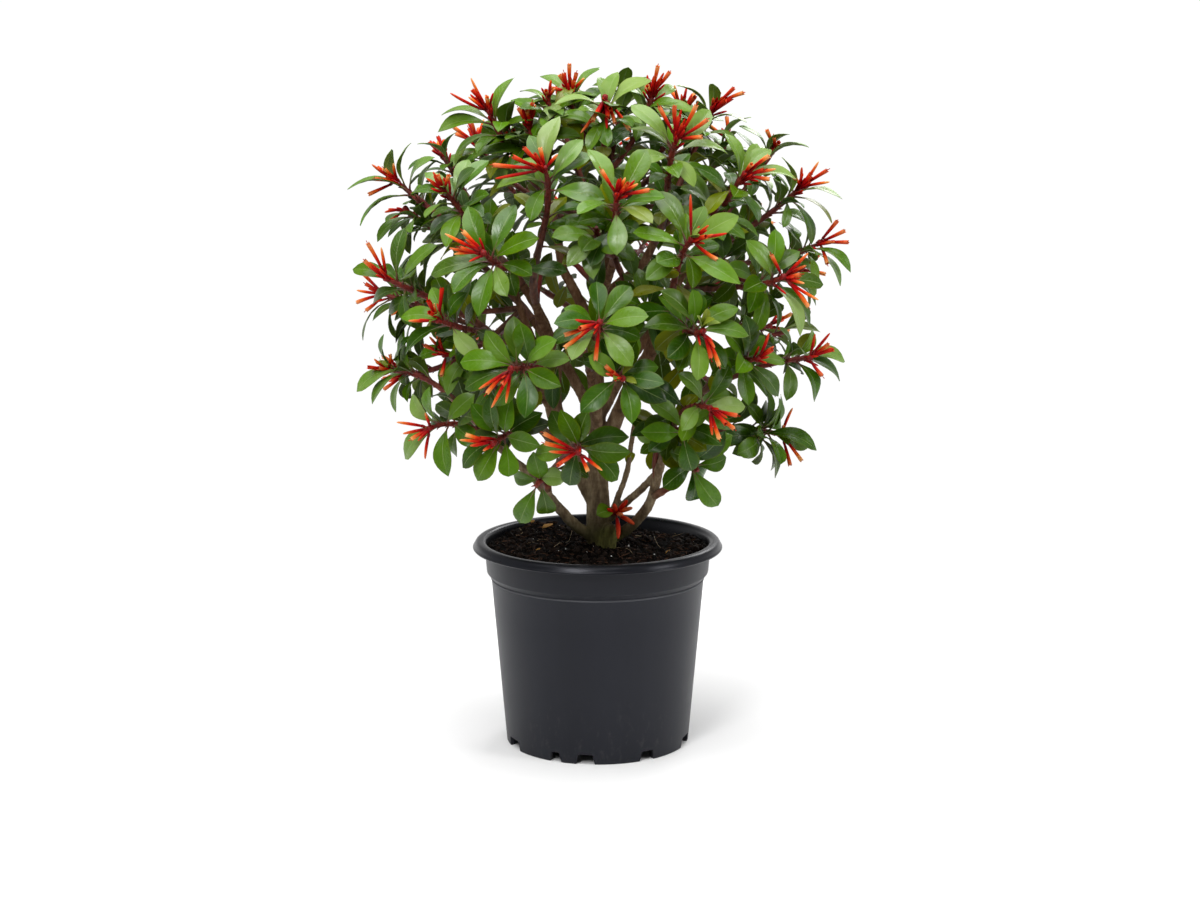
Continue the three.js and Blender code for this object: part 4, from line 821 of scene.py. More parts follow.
def add_flower(bloom, root, tip, draw, orange, opened=True, girth=1.0, bright=0.0):
    along = tip - root
    length = along.length
    along.normalize()
    side = sideways_of(along)
    side.rotate(Quaternion(along, draw(0, FULL_TURN)))
    other = along.cross(side)
    bow = draw(-FLOWER_BOW, FLOWER_BOW) * length
    shade = draw()

    def at(share):
        return root + along * length * share + side * bow * 4 * share * (1 - share)

    for rows, sides, value in ((STALK, 6, 0.1), (CALYX, 8, 0.2)):
        bloom.add(*row_tube(rows, at, sides), (0, shade, value), slot=1)
    corners, tones = [], []
    for share, radius in OPEN_TUBE if opened else BUD_TUBE:
        corners.extend(ring_at(at(share), side, other, [radius * girth] * FLOWER_SIDES))
        tones.extend([(min(share + bright, 1), orange, shade)] * FLOWER_SIDES)
    rings = len(OPEN_TUBE)
    if opened:
        mouth, flare = MOUTH_OPENING * girth, draw(*LOBE_FLARES)
        for k in range(FLOWER_SIDES):
            lobe = k % 2 == 0
            centre = at(MOUTH_SHARE) + along * (LOBE_REACH * length if lobe else -LOBE_DIP)
            spread = [mouth + (flare if lobe else 0)] * FLOWER_SIDES
            corners.append(ring_at(centre, side, other, spread)[k])
        tones.extend([(1.0, orange, shade)] * FLOWER_SIDES)
        for depth, spread, share in THROAT:
            centre = at(MOUTH_SHARE) - along * depth
            corners.extend(ring_at(centre, side, other, [mouth * spread] * FLOWER_SIDES))
            tones.extend([(share, orange, shade)] * FLOWER_SIDES)
        rings += 1 + len(THROAT)
    bloom.add(corners, ring_faces(rings, FLOWER_SIDES), tones)
    if opened and draw() > 1 - STYLE_SHARE:
        stops = [at(0.8), at(1.0), at(1.0) + along * draw(*STYLE_REACH)]
        bloom.add(*tube(stops, STYLE_RADII, 5), (0.5, orange, shade))


# Wood: the trunk and limbs are one skin, with bark relief and the collars where limbs leave.
TRUNK_VOXEL = 1.5
BARK_RELIEF = 0.9
# Noise in the bark: how long its grain is across and along, where it is drawn from, its share
BARK_GRAINS = [((7, 26), (0, 0, 0), 0.6), ((2.6, 9), (9, 4, 2), 0.35), ((30, 2.2), (1, 7, 5), 0.3)]
# Each limb's tube: millimetres between its rings, and its sides. The foot and the stub have their own.
LIMB_STEP = 8
LIMB_SIDES = 16
FOOT_SIDES = 24
STUB_STEPS = 10
STUB_SIDES = 14
# The trunk's foot in its hole: height and radius
FOOT_STATIONS = [(HOLE_BOTTOM + GAP, STEM_FOOT_RADIUS), (180, STEM_FOOT_RADIUS),
                 (206, STEM_FOOT_RADIUS - 0.2), (214, STEM_FOOT_RADIUS - 1.2)]
STUB = [(11, -16, 196, 8.4), (11.5, -18.5, 212, 8.2), (12, -20, 226, 8.2), (13, -19, 235, 5.6)]
THIN_STEM = [(12, -8, 236, 4), (19, -10, 255, 3.4), (24, -9, 269, 3.2),
             (31, -8, 289, 3), (34, -6, 312, 2.8), (40, -4, 350, 2.4)]


def bark_relief(point):
    """How far the bark stands out at a place, from its long plates, short cracks and rings."""
    relief = 0
    for (across, along), start, share in BARK_GRAINS:
        place = Vector((point.x / across, point.y / across, point.z / along)) + Vector(start)
        relief += share * noise.noise(place)
    return BARK_RELIEF * relief


def dress_trunk(limbs, material):
    shape = bmesh.new()

    def lay(skin):
        corners, faces = skin
        made = [shape.verts.new(corner * MM) for corner in corners]
        for face in faces:
            shape.faces.new([made[corner] for corner in face])

    for run in limbs:
        steps = max(8, int((run.points[-1] - run.points[0]).length / LIMB_STEP))
        lay(tube(sampled(run.curve, steps), sampled(run.radius_at, steps), LIMB_SIDES))
    foot = Vector((*STEM_FOOT, 0))
    lay(row_tube(FOOT_STATIONS, lambda height: foot + UP * height, FOOT_SIDES))
    for stations in (STUB, THIN_STEM):
        run = limb_run("trunk_and_limbs", stations, STUB_STEPS)
        lay(tube(run.points, run.radii, STUB_SIDES))
    draft = draft_of("trunk_draft", shape)
    fused = draft.modifiers.new("one skin", "REMESH")
    fused.mode = "VOXEL"
    fused.voxel_size = TRUNK_VOXEL * MM
    even = draft.modifiers.new("even", "SMOOTH")
    even.factor = 0.5
    even.iterations = 1
    mesh = finished(draft, material)
    normals = [vertex.normal.copy() for vertex in mesh.vertices]
    for vertex, normal in zip(mesh.vertices, normals):
        vertex.co += normal * bark_relief(vertex.co / MM) * MM
    settle("trunk_and_limbs_bark", mesh, ["trunk_and_limbs"])


# How far back from its end a shoot is maroon, and where it has turned to bark
YOUNG_WOOD = (35, 110)
# Wood also turns to bark this near to where it leaves its limb.
FORK_BARK = 20
TWIG_STEP = 5
TWIG_SIDES = 9
# How many of a twig's rings swell, by how much, how thin its very end is, and how uneven its bark
KNOT_SHARE = 0.4
KNOT_SWELLING = 1.16
TWIG_END = 0.75
TWIG_RIPPLE = 0.06


def add_twig(wood, run, draw):
    """Fine wood along a shoot's run, with a swelling at each old leaf's place."""
    steps = max(10, int((run.points[-1] - run.points[0]).length / TWIG_STEP))
    shares = [i / steps for i in range(steps + 1)]
    knots = {i for i in range(2, steps) if draw() > 1 - KNOT_SHARE}
    radii = [run.radius_at(t) * (KNOT_SWELLING if i in knots else 1) for i, t in enumerate(shares)]
    radii[-1] *= TWIG_END
    phase = draw(0, FULL_TURN)

    def relief(point, turn):
        return 1 + TWIG_RIPPLE * math.sin(3 * turn + phase) * math.sin(point.z * 0.4)

    reach = wood_length(run)
    tones = []
    for t in shares:
        age = ((1 - t) * reach - YOUNG_WOOD[0]) / (YOUNG_WOOD[1] - YOUNG_WOOD[0])
        age = clamped(max(age, 1 - t * reach / FORK_BARK), 0, 1)
        tones.extend((age, draw(), 0.5) for _ in range(TWIG_SIDES))
    wood.add(*tube([run.curve(t) for t in shares], radii, TWIG_SIDES, relief), tones)


def back_from_end(run, distance):
    points = sampled(run.curve, 24)
    left = distance
    for i in range(len(points) - 1, 0, -1):
        length = (points[i] - points[i - 1]).length
        if left <= length:
            return points[i].lerp(points[i - 1], left / length)
        left -= length
    return points[0].copy()


def wood_length(run):
    points = sampled(run.curve, 12)
    return sum((b - a).length for a, b in zip(points, points[1:]))


# How each shoot is filled: leaves in its whorl, then leaves further back along its wood.
# Each range is (least, most): lengths in millimetres, leans from the shoot's axis in radians.
WHORL_LEAVES = 13
WHORL_LENGTHS = (38, 52)
WHORL_LEANS = (1.1, 1.95)
WHORL_TRIES = 7
REAR_LEAVES = 10
REAR_LEAF_SPACING = 7.5
REAR_LENGTHS = (36, 50)
REAR_LEANS = (0.9, 1.5)
REAR_CROWN_SHARES = (0.5, 1.02)
BARE_FORK = 12
YOUNG_LEAVES = 4
YOUNG_SHARE = 0.15
YOUNG_LENGTHS = (14, 24)
YOUNG_LEANS = (0.2, 0.7)
YOUNG_WIDTH = 0.34
YOUNG_PALENESS = (0.75, 1)
YOUNG_YELLOW = (0.4, 0.9)
BRACTS = 30
BRACT_SPACING = 2.3
BRACT_LENGTHS = (4.5, 8.5)
BRACT_LEANS = (0.45, 0.9)
BRACT_RADII = [1.25, 0.85, 0.25]
FILL_REACH = 1.1
# How pale the leaves are: least, and how much more at most, for listed, whorl, rear and added leaves
LISTED_TONE = (0.08, 0.6)
WHORL_TONE = (0, 0.45)
# Rear leaves, further back along the wood inside the crown, are darker: painted shade.
REAR_TONE = (-0.05, 0.22)
ADDED_TONE = (0.05, 0.45)
# Leaves get paler by so much, from the one height over so many millimetres: painted sheen of the light from
# above.
HEIGHT_PAINTED_SHEEN = 0.38
PALER_FROM = 260
PALER_RISE = 400
OLIVE_SHARE = 0.16
HIGH_OLIVE_SHARE = 0.08
HIGH_OLIVE_FROM = 570
OLIVE, NOT_OLIVE = (0.6, 1), (0, 0.15)
# A few low leaves are paler, as painted highlights: their share, the height they are under, and how much
# paler.
LOW_HIGHLIGHT_SHARE = 0.16
LOW_HIGHLIGHT_BELOW = 480
LOW_HIGHLIGHT_PALENESS = (0.15, 0.4)

# Yellowed leaves inside the bush, each on the branch it is drawn with: its root and its tip
OLD_LEAVES = {
    "left_upper": [((-30, 2, 482), (-42, 8, 456))],
    "left_middle": [((-68, -27, 348), (-58, -24, 374))],
    "right_lower": [((66, -46, 326), (53, -46, 297)), ((200, -50, 412), (216, -40, 436))],
    "low_right": [((31, -8, 289), (36, -14, 309))],
    "right_top": [((30, -11, 490), (43, -8, 468))],
}
OLD_WIDTH = 0.52
OLD_PALENESS = (0.3, 0.5)
OLD_YELLOW = (0.7, 0.95)
# They show the front their under sides.
OLD_FACING = Vector((0, 1, 0))

# More leaves where one cluster is fuller: the branch, the leaves' common root, and their tips
FULL_CLUSTERS = {
    "low_right": [((164, -20, 327), [(171, -10, 378), (184, -40, 370), (224, -30, 314), (185, -60, 305),
                                     (126, -50, 332), (141, -60, 316), (183, -20, 283), (160, 0, 296)]),
                  ((62, -61, 332), [(43, -70, 318), (38, -76, 341), (75, -72, 304)])],
    "top_left": [((-43, -6, 538), [(-74, -20, 552), (-71, -30, 541)])],
}

# Where the front view shows the sky between the leaves: across and up, in the upright plane
# through the pot's axis, and how far round that place no filling leaf goes
SKY_GAPS = [
    (-59, 517, 8), (15, 494, 8), (41, 517, 6), (-15, 478, 7), (-49, 451, 9), (-72, 455, 7), (-102, 437, 10),
    (-120, 442, 8), (-141, 442, 7), (-165, 398, 9), (-86, 420, 8), (-60, 415, 7), (-120, 400, 7),
    (180, 437, 9), (204, 447, 8), (125, 426, 7), (112, 392, 9), (138, 377, 8), (15, 354, 12), (15, 330, 9),
    (110, 333, 9), (-77, 302, 10), (-56, 322, 7), (-36, 268, 15), (-20, 250, 12), (-108, 286, 11),
    (43, 406, 8), (30, 300, 11), (24, 275, 14), (63, 288, 7), (64, 305, 6), (-45, 440, 7), (-55, 425, 6),
    (-20, 462, 6), (-2, 385, 7),
]
SKY_MARGIN = 2


def seen_at(point):
    """A point moved along the front view's sight line to the upright plane through the axis."""
    near = CAMERA_PLACE[1] / (CAMERA_PLACE[1] - point.y)
    return point.x * near, CAMERA_PLACE[2] + (point.z - CAMERA_PLACE[2]) * near


def hides_sky(root, tip):
    for share in (0.3, 0.55, 0.8, 1):
        across, up = seen_at(root.lerp(tip, share))
        for gap_across, gap_up, reach in SKY_GAPS:
            if math.hypot(across - gap_across, up - gap_up) < reach + SKY_MARGIN:
                return True
    return False


def crown_share(point):
    off = point - CROWN_CENTRE
    return math.sqrt(sum((off[i] / CROWN_RADII[i]) ** 2 for i in range(3)))


def leaf_tone(tip, draw, least_and_more, olive=0.0):
    """How pale a leaf is, paler high up as painted sheen and for a few low ones as painted highlights, then
    a value of its own, and how yellow it is.
    """
    least, above = least_and_more
    height = clamped((tip.z - PALER_FROM) / PALER_RISE, 0, 1)
    yellow = draw(*OLIVE) if draw() < olive else draw(*NOT_OLIVE)
    painted_highlight = draw(*LOW_HIGHLIGHT_PALENESS) if draw() < LOW_HIGHLIGHT_SHARE and tip.z < LOW_HIGHLIGHT_BELOW else 0
    return least + HEIGHT_PAINTED_SHEEN * height ** 1.4 + draw(0, above) + painted_highlight, draw(), yellow


def widest_gap(axis, taken, draw, length):
    """Of several drawn tips, the one that lies furthest from the leaves already there."""
    best, best_gap = None, -1
    for _ in range(WHORL_TRIES):
        tip = around(axis, draw(0, FULL_TURN), draw(*WHORL_LEANS), length)
        gap = min((tip.angle(other) for other in taken), default=math.pi)
        if gap > best_gap:
            best, best_gap = tip, gap
    return best


def grow_whorl(shoot, blades, wood, draw):
    """The listed leaves, then filling ones where there is most room for them."""
    olive = HIGH_OLIVE_SHARE if shoot.node.z > HIGH_OLIVE_FROM else 0
    taken = list(shoot.leaves)
    for i in range(max(WHORL_LEAVES, len(shoot.leaves))):
        root = back_from_end(shoot.run, SHOOT_END + i * LEAF_STEP)
        if i < len(shoot.leaves):
            tip = shoot.node + shoot.leaves[i]
            tone = leaf_tone(tip, draw, LISTED_TONE, olive)
        else:
            reach = widest_gap(shoot.axis, taken, draw, draw(*WHORL_LENGTHS))
            tip = shoot.node + reach
            if crown_share(tip) > FILL_REACH or hides_sky(root, tip):
                continue
            taken.append(reach)
            tone = leaf_tone(tip, draw, WHORL_TONE)
        add_leaf(blades, wood, root, tip, shoot.facing, tone, draw)


def grow_rear_leaves(shoot, blades, wood, draw):
    reach = wood_length(shoot.run)
    first_turn = draw(0, FULL_TURN)
    for i in range(REAR_LEAVES):
        back = SHOOT_END + WHORL_LEAVES * LEAF_STEP + (i + draw()) * REAR_LEAF_SPACING
        if back > reach - BARE_FORK:
            break
        root = back_from_end(shoot.run, back)
        axis = (root - back_from_end(shoot.run, back + 3)).normalized()
        turn = first_turn + i * FULL_TURN * GOLDEN_TURN
        tip = root + around(axis, turn, draw(*REAR_LEANS), draw(*REAR_LENGTHS))
        if not REAR_CROWN_SHARES[0] < crown_share(tip) < REAR_CROWN_SHARES[1] or hides_sky(root, tip):
            continue
        add_leaf(blades, wood, root, tip, axis, leaf_tone(tip, draw, REAR_TONE, OLIVE_SHARE), draw)


def grow_young_leaves(shoot, blades, wood, draw):
    """Pale leaves that still stand up at the tip, then the small bracts along the young wood."""
    for i in range(YOUNG_LEAVES if shoot.young or draw() < YOUNG_SHARE else 0):
        axis = shoot.axis + UP * 0.8 * shoot.young
        tip = around(axis, draw(0, FULL_TURN), draw(*YOUNG_LEANS), draw(*YOUNG_LENGTHS))
        root = back_from_end(shoot.run, 2 + i)
        tone = (draw(*YOUNG_PALENESS), draw(), draw(*YOUNG_YELLOW))
        add_leaf(blades, wood, root, root + tip, shoot.axis, tone, draw, width=YOUNG_WIDTH)
    for i in range(BRACTS):
        root = back_from_end(shoot.run, 3 + (i + draw()) * BRACT_SPACING)
        axis = (root - back_from_end(shoot.run, 7 + i * BRACT_SPACING)).normalized()
        way = around(axis, i * FULL_TURN * GOLDEN_TURN, draw(*BRACT_LEANS), draw(*BRACT_LENGTHS))
        wood.add(*tube([root, root + way * 0.6, root + way], BRACT_RADII, 4), (0, draw(), 0.5))


# How many flowers and young buds a bloom has beside the listed flowers, low in the crown and high
# in it, and between which heights that rises
BLOOM_FLOWERS = (1.6, 5)
BLOOM_BUDS = (2, 8)
BLOOM_LEVELS = (420, 600)
BUD_DARKNESS = 0.18
# The swollen end of a shoot that the flowers stand on: how far up, and its radius
SHOOT_TIP = [(0, 2), (2, 2.6), (4, 3.1), (6, 2.8), (7, 1.4)]
# The flowers beside the listed ones, and the buds: leans, lengths, and how far back they start
MORE_LEANS, MORE_LENGTHS, MORE_BACK = (0.05, 0.42), (20, 30), 9
BUD_LEANS, BUD_LENGTHS, BUD_BACK = (0.1, 0.85), (12, 22), 13
# The shares of open flowers, and how orange the flowers beside the listed ones and the buds may be
OPEN_LISTED, OPEN_MORE = 0.65, 0.4
MORE_ORANGE, BUD_ORANGE = 0.45, 0.15
# A small cluster sits by the trunk's foot: its root, its flowers' tips and its one leaf's from there
LOW_CLUSTER = (19, -21, 246)
LOW_FLOWERS = [(-9, -10, 7), (17, -14, 9), (19, -12, -9), (2, -15, -24),
               (7, -16, 2), (-2, -13, 13), (12, -8, 16)]
LOW_STALK = [(-9, 1.6), (-4, 1.8), (0, 2.3), (3, 1.2)]
LOW_LEAF = (-20, -12, 1)
LOW_CLUSTER_WIDTH = 0.85
LOW_CLUSTER_SEED = 58


def grow_low_cluster(materials):
    """The few flowers and the round leaf that sprout low, beside the trunk's foot."""
    draw = seeded_draws(LOW_CLUSTER_SEED)
    root = Vector(LOW_CLUSTER)
    out = Vector((0.5, -0.8, 0.3)).normalized()
    flowers, leaves, stalks = (Piece(f"{kind}_by_the_trunk") for kind in ("flowers", "leaves", "stalks"))
    flowers.add(*row_tube(LOW_STALK, lambda rise: root + out * rise, 8), (0, 0.5, 0.4), slot=1)
    # These flowers are painted brighter from their roots, as painted light on a cluster that lies in shade.
    for tip in LOW_FLOWERS:
        orange = draw(0, 0.35)
        add_flower(flowers, root, root + Vector(tip), draw, orange, opened=False, girth=1.5, bright=0.3)
    # The round leaf is painted pale, as painted light where it lies in shade.
    tone = (0.7, draw(), 0.2)
    add_leaf(leaves, stalks, root, root + Vector(LOW_LEAF), out, tone, draw, LOW_CLUSTER_WIDTH)
    flowers.make([materials["flower"], materials["stalk"]], "bloom")
    leaves.make([materials["upper"], materials["under"]], "foliage")
    stalks.make([materials["twig"], materials["rib"]], "bark")


def bloom_level(node):
    low, high = BLOOM_LEVELS
    return clamped((node.z - low) / (high - low), 0, 1) ** 2


def grow_bloom(shoot, bloom, draw, more, buds):
    """Flowers where the list has them, then more close round the shoot's axis, then young buds."""
    dark = -BUD_DARKNESS * bloom_level(shoot.node)
    foot = shoot.node + shoot.axis * (SHOOT_END + GAP)
    heading = sum((tip.normalized() for tip in shoot.flowers), shoot.axis * 0.8).normalized()
    swollen = row_tube(SHOOT_TIP, lambda rise: foot + shoot.axis * rise, 10)
    bloom.add(*swollen, (0, draw(), 0.4), slot=1)
    root = foot + shoot.axis * FLOWER_RISE
    for tip in shoot.flowers:
        orange = draw(0, 1) ** 0.8
        add_flower(bloom, root, shoot.node + tip, draw, orange, opened=draw() > 1 - OPEN_LISTED)
    for _ in range(more):
        tip = around(heading, draw(0, FULL_TURN), draw(*MORE_LEANS), draw(*MORE_LENGTHS))
        low = root - shoot.axis * draw(0, MORE_BACK)
        orange = draw(0, MORE_ORANGE)
        add_flower(bloom, low, low + tip, draw, orange, opened=draw() > 1 - OPEN_MORE, bright=dark)
    for _ in range(buds):
        tip = around(heading, draw(0, FULL_TURN), draw(*BUD_LEANS), draw(*BUD_LENGTHS))
        low = root - shoot.axis * draw(0, BUD_BACK)
        orange = draw(0, BUD_ORANGE)
        add_flower(bloom, low, low + tip, draw, orange, opened=False, girth=0.8, bright=1.5 * dark)


# Pot and soil
def arc(centre, radius, start, end, steps):
    """Profile points on an arc, from one angle to another in degrees."""
    angles = [math.radians(start + (end - start) * i / steps) for i in range(steps + 1)]
    return [(centre[0] + radius * math.cos(a), centre[1] + radius * math.sin(a)) for a in angles]


def offsets(radius, height, rows):
    """Profile points that are given as steps from one place."""
    return [(radius + out, height + up) for out, up in rows]


def lathe(profile, sides):
    """A closed solid turned from a profile whose ends are on the axis."""
    shape = bmesh.new()
    rings = []
    for radius, height in profile:
        turns = turns_of(sides) if radius else [0]
        rings.append([shape.verts.new((radius * math.sin(a) * MM, -radius * math.cos(a) * MM, height * MM))
                      for a in turns])
    for lower, upper in zip(rings, rings[1:]):
        for k in range(sides):
            face = [lower[k % len(lower)], lower[(k + 1) % len(lower)],
                    upper[(k + 1) % len(upper)], upper[k % len(upper)]]
            shape.faces.new(list(dict.fromkeys(face)))
    bmesh.ops.recalc_face_normals(shape, faces=shape.faces)
    return shape


def slot_cutter():
    """Blocks that cut the drainage slots through the foot, narrower at the top than at the floor."""
    shape = bmesh.new()
    top = FLOOR_UNDERSIDE + FLOOR_THICKNESS + 1
    for middle, width in SLOTS:
        half = FOOT_RADIUS * math.radians(width) / 2
        narrow = half - SLOT_SLOPE
        right = [(half + SLOT_SLOPE, -SLOT_BELOW), (narrow, top - 1), (narrow - 1, top)]
        left = [(-across, height) for across, height in right]
        outline = left[:1] + right + left[:0:-1]
        angle = math.radians(middle)
        ends = []
        for out in (FOOT_RADIUS - SLOT_REACH, FOOT_RADIUS + SLOT_PAST):
            ring = []
            for across, height in outline:
                x = across * math.cos(angle) + out * math.sin(angle)
                y = across * math.sin(angle) - out * math.cos(angle)
                ring.append(shape.verts.new((x * MM, y * MM, height * MM)))
            ends.append(ring)
        inner, outer = ends
        shape.faces.new(inner)
        shape.faces.new(outer[::-1])
        for here in range(len(outline)):
            there = (here + 1) % len(outline)
            shape.faces.new([inner[here], outer[here], outer[there], inner[there]])
    bmesh.ops.recalc_face_normals(shape, faces=shape.faces)
    return shape


def pot_profile():
    """The pot's section, from the middle of its floor up the inside, over the rim and down the outside."""
    inside_top = MOUTH_RADIUS - 2
    lip_bottom = POT_HEIGHT - LIP_HEIGHT
    floor_top = FLOOR_UNDERSIDE + FLOOR_THICKNESS
    step_bottom = BAND_BOTTOM - STEP_HEIGHT
    wall_shares = (0.985, 0.8, 0.6, 0.4, 0.2, 0.06)
    return [
        *[(radius, floor_top) for radius in (0, 30, 60, 84)],
        *arc((FOOT_RADIUS - WALL - 2.2, floor_top + 3), 3, -90, -4, 5),
        *offsets(BODY_TOP_RADIUS - WALL, step_bottom, [(0, 0), (3.6, STEP_HEIGHT + 1)]),
        (inside_top - 0.4, POT_HEIGHT - 5),
        *arc((inside_top + 4.5, POT_HEIGHT - 4.5), 4.5, 172, 90, 6),
        *offsets(RIM_RADIUS, POT_HEIGHT, [
            (-6, 0), (-4.4, -0.5), (-2.9, -1.9), (-1.4, -4.6), (-1.1, -5.6), (-0.3, -6.5), (0, -7)]),
        *offsets(RIM_RADIUS, lip_bottom, [(0, 0.7), (-0.6, 0), (-2.8, 0.3)]),
        *arc((BAND_RADII[1] + 1.6, lip_bottom - 1.3), 1.6, 90, 180, 4),
        (BAND_RADII[0] + 0.3, BAND_BOTTOM + 2.4),
        *arc((BAND_RADII[0] - 1.4, BAND_BOTTOM + 1.4), 1.5, 0, -50, 4),
        *offsets(BODY_TOP_RADIUS, step_bottom, [
            (1.2, 2.6), (0.1, 1.5), (-0.3, 0.7), (0.4, 0), (0.45, -0.4)]),
        *[(between((FOOT_RADIUS, BODY_TOP_RADIUS), share), step_bottom * share) for share in wall_shares],
        *offsets(FOOT_RADIUS, 0, [(0, 0.8), (-0.8, 0), (-FOOT_RING, 0), (-FOOT_RING, FLOOR_UNDERSIDE)]),
        *[(radius, FLOOR_UNDERSIDE) for radius in (60, 30, 0)],
    ]


def dress_pot(material):
    draft = draft_of("pot_draft", lathe(pot_profile(), POT_SIDES))
    cutter = draft_of("slot_cutter", slot_cutter())
    cut = draft.modifiers.new("slots", "BOOLEAN")
    cut.object = cutter
    cut.operation = "DIFFERENCE"
    cut.solver = "EXACT"
    mesh = finished(draft, material)
    bpy.data.objects.remove(cutter)
    mesh.set_sharp_from_angle(angle=math.radians(38))
    settle("nursery_pot", mesh, ["pot"])


SOIL_RINGS = 92
SOIL_SECTORS = 270
SOIL_TOUCH = 115.2
# The soil's side under its edge: radius and height
SOIL_SIDE = [(106.8, 172), (FOOT_RADIUS - WALL - 1, FLOOR_UNDERSIDE + FLOOR_THICKNESS + GAP)]
# Low heaps and hollows in the soil: (x, y), rise and spread
SOIL_HEAPS = [((-62, 70), 7, 28), ((70, 92), -6, 34), ((10, 100), -4, 26),
              ((-100, 0), 3, 26), ((96, -20), 2, 26)]
# Broad mounds, clods, crumb and grit: how wide each is, where its noise is read, and how high
SOIL_GRAINS = [(34, 1.7, 1.6), (9, 5.1, 2.6), (2.7, 8.3, 1.5), (1.3, 3.3, 0.6)]
LITTER_SEED = 311
CRUMBS = 1500
COARSE_CRUMB = 9
CRUMB_TONE = (0.009, 0.0046, 0.0028)
FIBRES = 330
FIBRE_TONE = (0.05, 0.024, 0.014)
SPECKS = 16
# What lies on the soil where the photograph shows it: (x, y) from the pot's axis
WHITE_GRAINS = [(-4, -20), (-11, -43), (32, -20), (-33, -25), (-40, -38), (58, -47), (-68, 18), (14, -62)]
# A dry leaf bit's place, length and turn, and its rows: along, half width, rise
DRY_BITS = [(-54, 61, 15, 0.7), (-60, -25, 9, -0.4), (72, -40, 5, 0.5), (-70, 78, 7, 1.2)]
DRY_ROWS = [(-0.5, 0.05, 0), (-0.25, 0.26, 0.7), (0, 0.3, 1.2), (0.25, 0.24, 0.9), (0.5, 0.06, 0.2)]
DRY_RIM = [0, 1, 2, 5, 8, 11, 14, 13, 12, 9, 6, 3]
PALE_ROOTS = [
    [(-50, -40), (-40, -10), (-31, 12), (-27, 50)], [(-72, -5), (-66, 2), (-60, 14), (-52, 16)],
    [(60, 30), (61, 5), (66, -18), (76, -30)], [(80, 52), (90, 62), (97, 78)],
    [(84, 70), (80, 88), (84, 100)], [(20, -20), (32, -38), (38, -60)], [(-90, 30), (-80, 48), (-84, 66)],
    [(40, 20), (52, 36), (66, 40)],
]
ROOT_STEPS = 14
WHITE_TONE, SPECK_TONE = (0.75, 0.75, 0.72), (0.5, 0.48, 0.42)
DRY_TONE, ROOT_TONE = (0.42, 0.22, 0.06), (0.3, 0.23, 0.14)


def soil_height(x, y):
    """The soil's smooth crown with its heaps, clods and crumb."""
    share = min(math.hypot(x, y) / SOIL_RADIUS, 1)
    heaps = sum(rise * math.exp(-((x - at[0]) ** 2 + (y - at[1]) ** 2) / spread ** 2)
                for at, rise, spread in SOIL_HEAPS)
    for width, level, rise in SOIL_GRAINS:
        heaps += rise * noise.noise(Vector((x / width, y / width, level)))
    return SOIL_EDGE + (SOIL_CROWN - SOIL_EDGE) * (1 - share * share) + heaps


def on_soil(x, y, above):
    return Vector((x, y, soil_height(x, y) + above))


def dress_soil(material):
    bed = Piece("potting_soil_bed")
    turns = turns_of(SOIL_SECTORS)
    corners = [(0, 0, soil_height(0, 0))]
    for ring in range(1, SOIL_RINGS + 1):
        radius = SOIL_TOUCH * ring / SOIL_RINGS
        places = [(radius * math.cos(a), radius * math.sin(a)) for a in turns]
        corners.extend((x, y, soil_height(x, y)) for x, y in places)
    for radius, height in SOIL_SIDE:
        corners.extend((radius * math.cos(a), radius * math.sin(a), height) for a in turns)
    corners.append((0, 0, SOIL_SIDE[-1][1]))
    faces = []
    rings = SOIL_RINGS + len(SOIL_SIDE)
    for s in range(SOIL_SECTORS):
        there = (s + 1) % SOIL_SECTORS
        faces.append((0, 1 + s, 1 + there))
        for ring in range(rings - 1):
            inner, outer = 1 + ring * SOIL_SECTORS, 1 + (ring + 1) * SOIL_SECTORS
            faces.append((inner + s, outer + s, outer + there, inner + there))
        under = 1 + (rings - 1) * SOIL_SECTORS
        faces.append((under + s, len(corners) - 1, under + there))
    bed.add(corners, faces)
    bed.make([material], "soil", ["potting_soil"], sharp=180)


def lump_template():
    """Corners and faces of a ball with twenty faces."""
    shape = bmesh.new()
    bmesh.ops.create_icosphere(shape, subdivisions=1, radius=1)
    shape.verts.ensure_lookup_table()
    corners = [tuple(vertex.co) for vertex in shape.verts]
    faces = [tuple(vertex.index for vertex in face.verts) for face in shape.faces]
    shape.free()
    return corners, faces


LUMP_CORNERS, LUMP_FACES = lump_template()


def add_crumb(piece, centre, size, tone, draw):
    """A small irregular lump."""
    spin = Quaternion((draw(-1, 1), draw(-1, 1), 0.3), draw(0, FULL_TURN))
    made = []
    for corner in LUMP_CORNERS:
        grown = Vector([value * size * draw(0.7, 1.15) for value in corner])
        grown.rotate(spin)
        made.append(centre + grown)
    piece.add(made, LUMP_FACES, tone)


def add_fibre(piece, x, y, draw):
    length, dark = draw(2.5, 6.5), draw(0.5, 1.6)
    turn, rise = draw(0, FULL_TURN), draw(-0.3, 0.5)
    flat = math.cos(rise)
    way = Vector((math.cos(turn) * flat, math.sin(turn) * flat, math.sin(rise))) * length
    centre = on_soil(x, y, 0.6)
    stops = [centre - way, centre + UP * draw(-0.6, 0.8), centre + way]
    piece.add(*tube(stops, [0.3, draw(0.5, 0.9), 0.25], 5), [value * dark for value in FIBRE_TONE])


